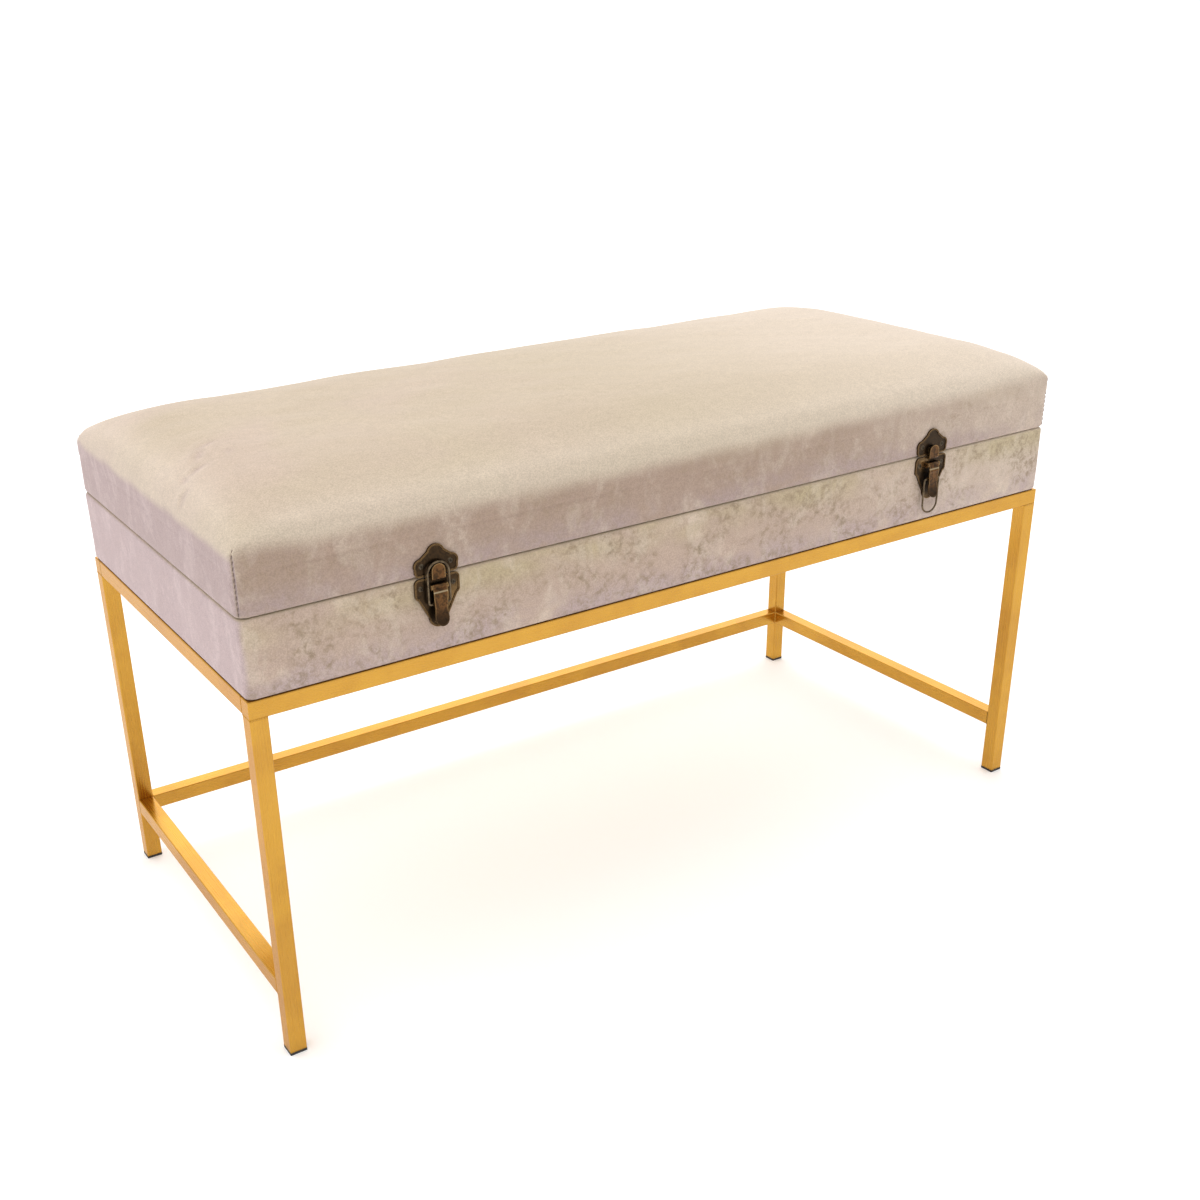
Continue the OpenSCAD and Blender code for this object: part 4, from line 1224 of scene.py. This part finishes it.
@dataclass
class TubeFrame:
    """The welded frame of square tube, its foot caps and the weld beads at its joints."""

    half_len: float = 0.457
    half_dep: float = 0.2035
    tube: float = 0.016
    stretcher: float = 0.058
    rail_low: float = 0.3325
    rounding: float = 0.0011
    cap_rounding: float = 0.0005
    bead: float = 0.0016
    dressed: float = 0.0009

    def tubes(self) -> dict[Run, list[str]]:
        """The frame's parts by the direction they run in."""
        return {
            Run.LONG: ["front_top_rail", "back_top_rail", "back_stretcher"],
            Run.DEEP: [f"{s}_{p}" for p in ("top_rail", "stretcher") for s in SIDES],
            Run.UPRIGHT: [f"{end}_{s}_leg" for end in ("front", "back") for s in SIDES],
        }

    def bead_runs(self) -> list[tuple[Sequence[float], Sequence[float], float]]:
        """Lines that the weld beads follow, as (start, end, radius).

        Returns:
            The beads where a stretcher meets a leg, and the dressed ones round each leg's top.
        """
        out_x, out_y = self.half_len, self.half_dep
        in_x, in_y = out_x - self.tube, out_y - self.tube
        low, high = self.stretcher, self.stretcher + self.tube
        end, sunk, full, flush = 0.001, 0.00035, self.bead, self.dressed
        runs: list[tuple[Sequence[float], Sequence[float], float]] = []
        for sx in (-1, 1):
            near, far = sx * (in_x + end), sx * (out_x - end)
            runs.append(((sx * in_x, in_y, low), (sx * in_x, in_y, high), full))
            runs.append(((sx * in_x, in_y + end, low), (sx * in_x, out_y - end, low), full))
            runs += [((near, sy * in_y, low), (far, sy * in_y, low), full) for sy in (-1, 1)]
            for sy in (-1, 1):
                x0, y0 = sx * (in_x + sunk), sy * (in_y + sunk)
                x1, y1 = sx * (out_x - sunk), sy * (out_y - sunk)
                ring = [(*spot, self.rail_low) for spot in ((x0, y0), (x1, y0), (x1, y1), (x0, y1))]
                runs += [(ring[k], ring[(k + 1) % 4], flush) for k in range(4)]
        return runs

    def beads(self) -> Piece:
        """Weld beads at the frame's joints.

        A bead is a circle carried along a short straight line, its radius waving with the
        arc's puddles and closing to nothing at both ends.

        Returns:
            All beads as one piece.
        """
        t = np.linspace(0, 1, 25)
        turn = np.arange(10) * 2 * math.pi / 10
        shape = (0.85 + 0.15 * np.sin(t * 30)) * np.clip(1 - (2 * t - 1) ** 12, 0.03, 1)
        tubes = []
        for start, stop, radius in self.bead_runs():
            a, b = np.array(start), np.array(stop)
            way = (b - a) / np.linalg.norm(b - a)
            u = np.cross(way, [0.31, 0.52, 0.79])
            u /= np.linalg.norm(u)
            ring = np.cos(turn)[None, :, None] * u + np.sin(turn)[None, :, None] * np.cross(way, u)
            tubes.append(a + t[:, None, None] * (b - a) + radius * shape[:, None, None] * ring)
        return tube_piece("frame_weld_beads", tubes)

    def build(self, nodes: dict[str, Piece]) -> None:
        """Dresses the tubes and caps and adds the beads.

        Args:
            nodes: The frame's parts by name.
        """
        for run, names in self.tubes().items():
            gold = GoldPaint(run).material()
            for name in names:
                soften(nodes[name], self.rounding, 3)
                dress(nodes[name], gold)
            if run is Run.UPRIGHT:
                beads = self.beads()
                dress(beads, gold)
                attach(beads, "base")
        soften(nodes["foot_caps"], self.cap_rounding)
        dress(nodes["foot_caps"], FootPlastic().material())


@dataclass
class Hardware:
    """Latches, hinges, stays and screws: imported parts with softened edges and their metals."""

    stamped: float = 0.00028
    pressed: float = 0.0003
    lever_bend: float = 0.4045

    def latch_parts(self) -> dict[AntiqueBronze, list[str]]:
        """Sorts the two latches' parts by finish.

        Returns:
            The names of each finish's parts.
        """
        wire = {"body": "#4c3e2d", "dark": "#3a2e22", "copper": "#6c5d49", "rubbed": "#8a7b62"}
        screw = {"copper": "#2b2118", "rubbed": "#6a5f4e"}
        plates = ("strike_plate", "base_plate", "lever_pin")
        screws = ["strike_screws", "base_plate_screws"]
        return {
            AntiqueBronze(): [f"{s}_{p}" for s in SIDES for p in plates],
            AntiqueBronze("antique_bronze_lever", bend=self.lever_bend): [f"{s}_lever" for s in SIDES],
            AntiqueBronze("bronze_wire_rubbed", wear=0.6, **wire): [f"{s}_bail" for s in SIDES],
            AntiqueBronze("blackened_bronze_screw", wear=0.6, **screw): screws,
        }

    def steel_parts(self) -> list[str]:
        """Lists the hinges, the stays and their screws.

        Returns:
            Their names.
        """
        hinge = ["hinge_box_leaf", "hinge_lid_leaf", "hinge_pin"]
        stay = ["stay_box_plate", "stay_lower_arm", "stay_upper_arm", "stay_lid_plate"]
        screws = [f"{p}_{to}_screws" for p in ("hinge", "stay") for to in ("box", "lid")]
        return [f"{s}_{p}" for s in SIDES for p in hinge + stay] + screws + ["box_frame_screws"]

    def build(self, nodes: dict[str, Piece]) -> None:
        """Softens and dresses the metal parts.

        Args:
            nodes: The frame's parts by name.
        """
        for finish, names in self.latch_parts().items():
            bronze = finish.material()
            for name in names:
                soften(nodes[name], self.stamped)
                dress(nodes[name], bronze)
        zinc = ZincPlate().material()
        for name in self.steel_parts():
            soften(nodes[name], self.pressed)
            dress(nodes[name], zinc)


@dataclass
class Carcass:
    """The wooden box and lid frame under the velvet."""

    long_box: Sequence[str] = ("front_panel", "back_panel", "bottom_panel")
    long_lid: Sequence[str] = ("front_rail", "back_rail", "board")

    def build(self, nodes: dict[str, Piece]) -> None:
        """Dresses the panels, rails and boards with wood that runs along each.

        Args:
            nodes: The frame's parts by name.
        """
        long_parts = [f"box_{p}" for p in self.long_box] + [f"lid_{p}" for p in self.long_lid]
        deep_parts = [f"box_{s}_panel" for s in SIDES] + [f"lid_{s}_rail" for s in SIDES]
        for run, names in ((Run.LONG, long_parts), (Run.DEEP, deep_parts)):
            wood = Plywood(run).material()
            for name in names:
                dress(nodes[name], wood)


@dataclass
class Studio:
    """Camera at the photograph's angle, pale floor, white surround and soft lamps."""

    lens: float = 42.363
    shift: Pair = (0.05016, 0.05628)
    eye: Triple = (-0.785571, -1.167384, 0.833168)
    right: Triple = (0.84336644, -0.53680053, -0.02404672)
    down: Triple = (-0.24439551, -0.3433456, -0.90685425)
    ahead: Triple = (0.47854351, 0.77068735, -0.42075779)
    surround: float = 0.86
    brighter: Triple = (0.12, 0.22, 0.55)
    window: Triple = (0.42, 0.72, 0.55)
    window_edge: Pair = (0.80, 0.96)
    gleam: float = 1.0
    floor_size: float = 40.0
    floor_lines: int = 49

    def camera(self) -> None:
        """Sets the camera's place, turn, lens and shift."""
        data = bpy.data.cameras.new("photo_camera")
        data.sensor_width = 36.0
        data.lens = self.lens
        data.shift_x, data.shift_y = self.shift
        data.clip_start, data.clip_end = 0.05, 60.0
        eye = bpy.data.objects.new("photo_camera", data)
        turn = Matrix((self.right, [-v for v in self.down], [-v for v in self.ahead])).transposed()
        eye.matrix_world = Matrix.Translation(self.eye) @ turn.to_4x4()
        bpy.context.scene.collection.objects.link(eye)
        bpy.context.scene.camera = eye

    def floor(self) -> None:
        """Lays the floor, a wide grid that curls up slightly at its far edges."""
        side = np.linspace(-self.floor_size, self.floor_size, self.floor_lines)
        x, y = (a.ravel() for a in np.meshgrid(side, side))
        rise = 0.05 * ease(self.floor_size / 2, self.floor_size, np.hypot(x, y))
        faces = strip_faces(self.floor_lines, self.floor_lines)
        floor = make_piece("floor", np.stack([x, y, rise], -1), faces)
        dress(floor, PaleFloor().material())

    def lamp(self, name: str, place: Triple, aim: Triple, size: float, power: float, colour: str) -> None:
        """Adds a square soft lamp.

        Args:
            name: The lamp's name.
            place: Where it hangs.
            aim: What it points at.
            size: Its side.
            power: Its power in watts.
            colour: Its colour.
        """
        data = bpy.data.lights.new(name, "AREA")
        data.shape, data.size, data.energy = "SQUARE", size, power
        data.color = srgb(colour)[:3]
        lamp = bpy.data.objects.new(name, data)
        lamp.location = place
        lamp.rotation_mode = "QUATERNION"
        lamp.rotation_quaternion = (Vector(aim) - Vector(place)).to_track_quat("-Z", "Y")
        bpy.context.scene.collection.objects.link(lamp)

    def lights(self) -> None:
        """Sets the surround and two soft lamps.

        The surround is brighter above and behind than in front, and a soft-edged window in
        it, behind the bench, puts a gleam on what faces up.
        """
        world = bpy.data.worlds.new("surround")
        world.use_nodes = True
        on = Nodes(world.node_tree)
        way = on.add("TexCoord", out="Generated")
        aims = (self.brighter, self.window)
        rise, toward = (on.add("VectorMath", way, aim, operation="DOT_PRODUCT") for aim in aims)
        level = on.add("Math", rise, self.surround, operation="ADD")
        glow = on.share((toward, *self.window_edge, 0.0, self.gleam))
        level = on.add("Math", level, glow, operation="ADD")
        background = world.node_tree.nodes["Background"].inputs
        world.node_tree.links.new(level, background["Strength"])
        background["Color"].default_value = (1.0, 1.0, 1.0, 1.0)
        bpy.context.scene.world = world
        self.lamp("overhead_lamp", (-0.5, 0.4, 2.6), (0.0, 0.0, 0.4), 2.4, 12.5, "#fffaf4")
        self.lamp("left_lamp", (-2.6, -0.3, 1.2), (-0.3, 0.0, 0.4), 1.6, 1.5, "#fff6f6")

    def build(self) -> None:
        """Sets up camera, floor, lights and the plain view of colours."""
        self.camera()
        self.floor()
        self.lights()
        bpy.context.scene.view_settings.view_transform = "Standard"


def main() -> None:
    """Builds the bench's looks in order and reports each step."""
    logging.basicConfig(level=logging.INFO, format="%(name)s: %(message)s", stream=sys.stdout)
    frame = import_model()
    nodes = frame["nodes"]
    on_box = {"tan": "#b49f90", "lilac": "#b19e9d", "blotch": 0.75, "patchy": 0.4, "lift": 0.7}
    box_velvet = CrushedVelvet("crushed_velvet_box", band=(0.382, 0.408), **on_box).material()
    lid_velvet = CrushedVelvet("crushed_velvet_lid").material()
    steps: list[tuple[str, Callable[[], None]]] = [
        ("camera, floor and lamps", Studio().build),
        ("gold frame", lambda: TubeFrame().build(nodes)),
        ("wooden carcass", lambda: Carcass().build(nodes)),
        ("velvet box", lambda: VelvetBox().build(box_velvet)),
        ("padded lid", lambda: PaddedLid().build(lid_velvet, WaxedThread().material())),
        ("linings", lambda: Linings().build(LiningCloth().material())),
        ("latches, hinges and stays", lambda: Hardware().build(nodes)),
    ]
    for name, step in steps:
        step()
        LOG.info("%s done", name)


if __name__ == "__main__":
    main()
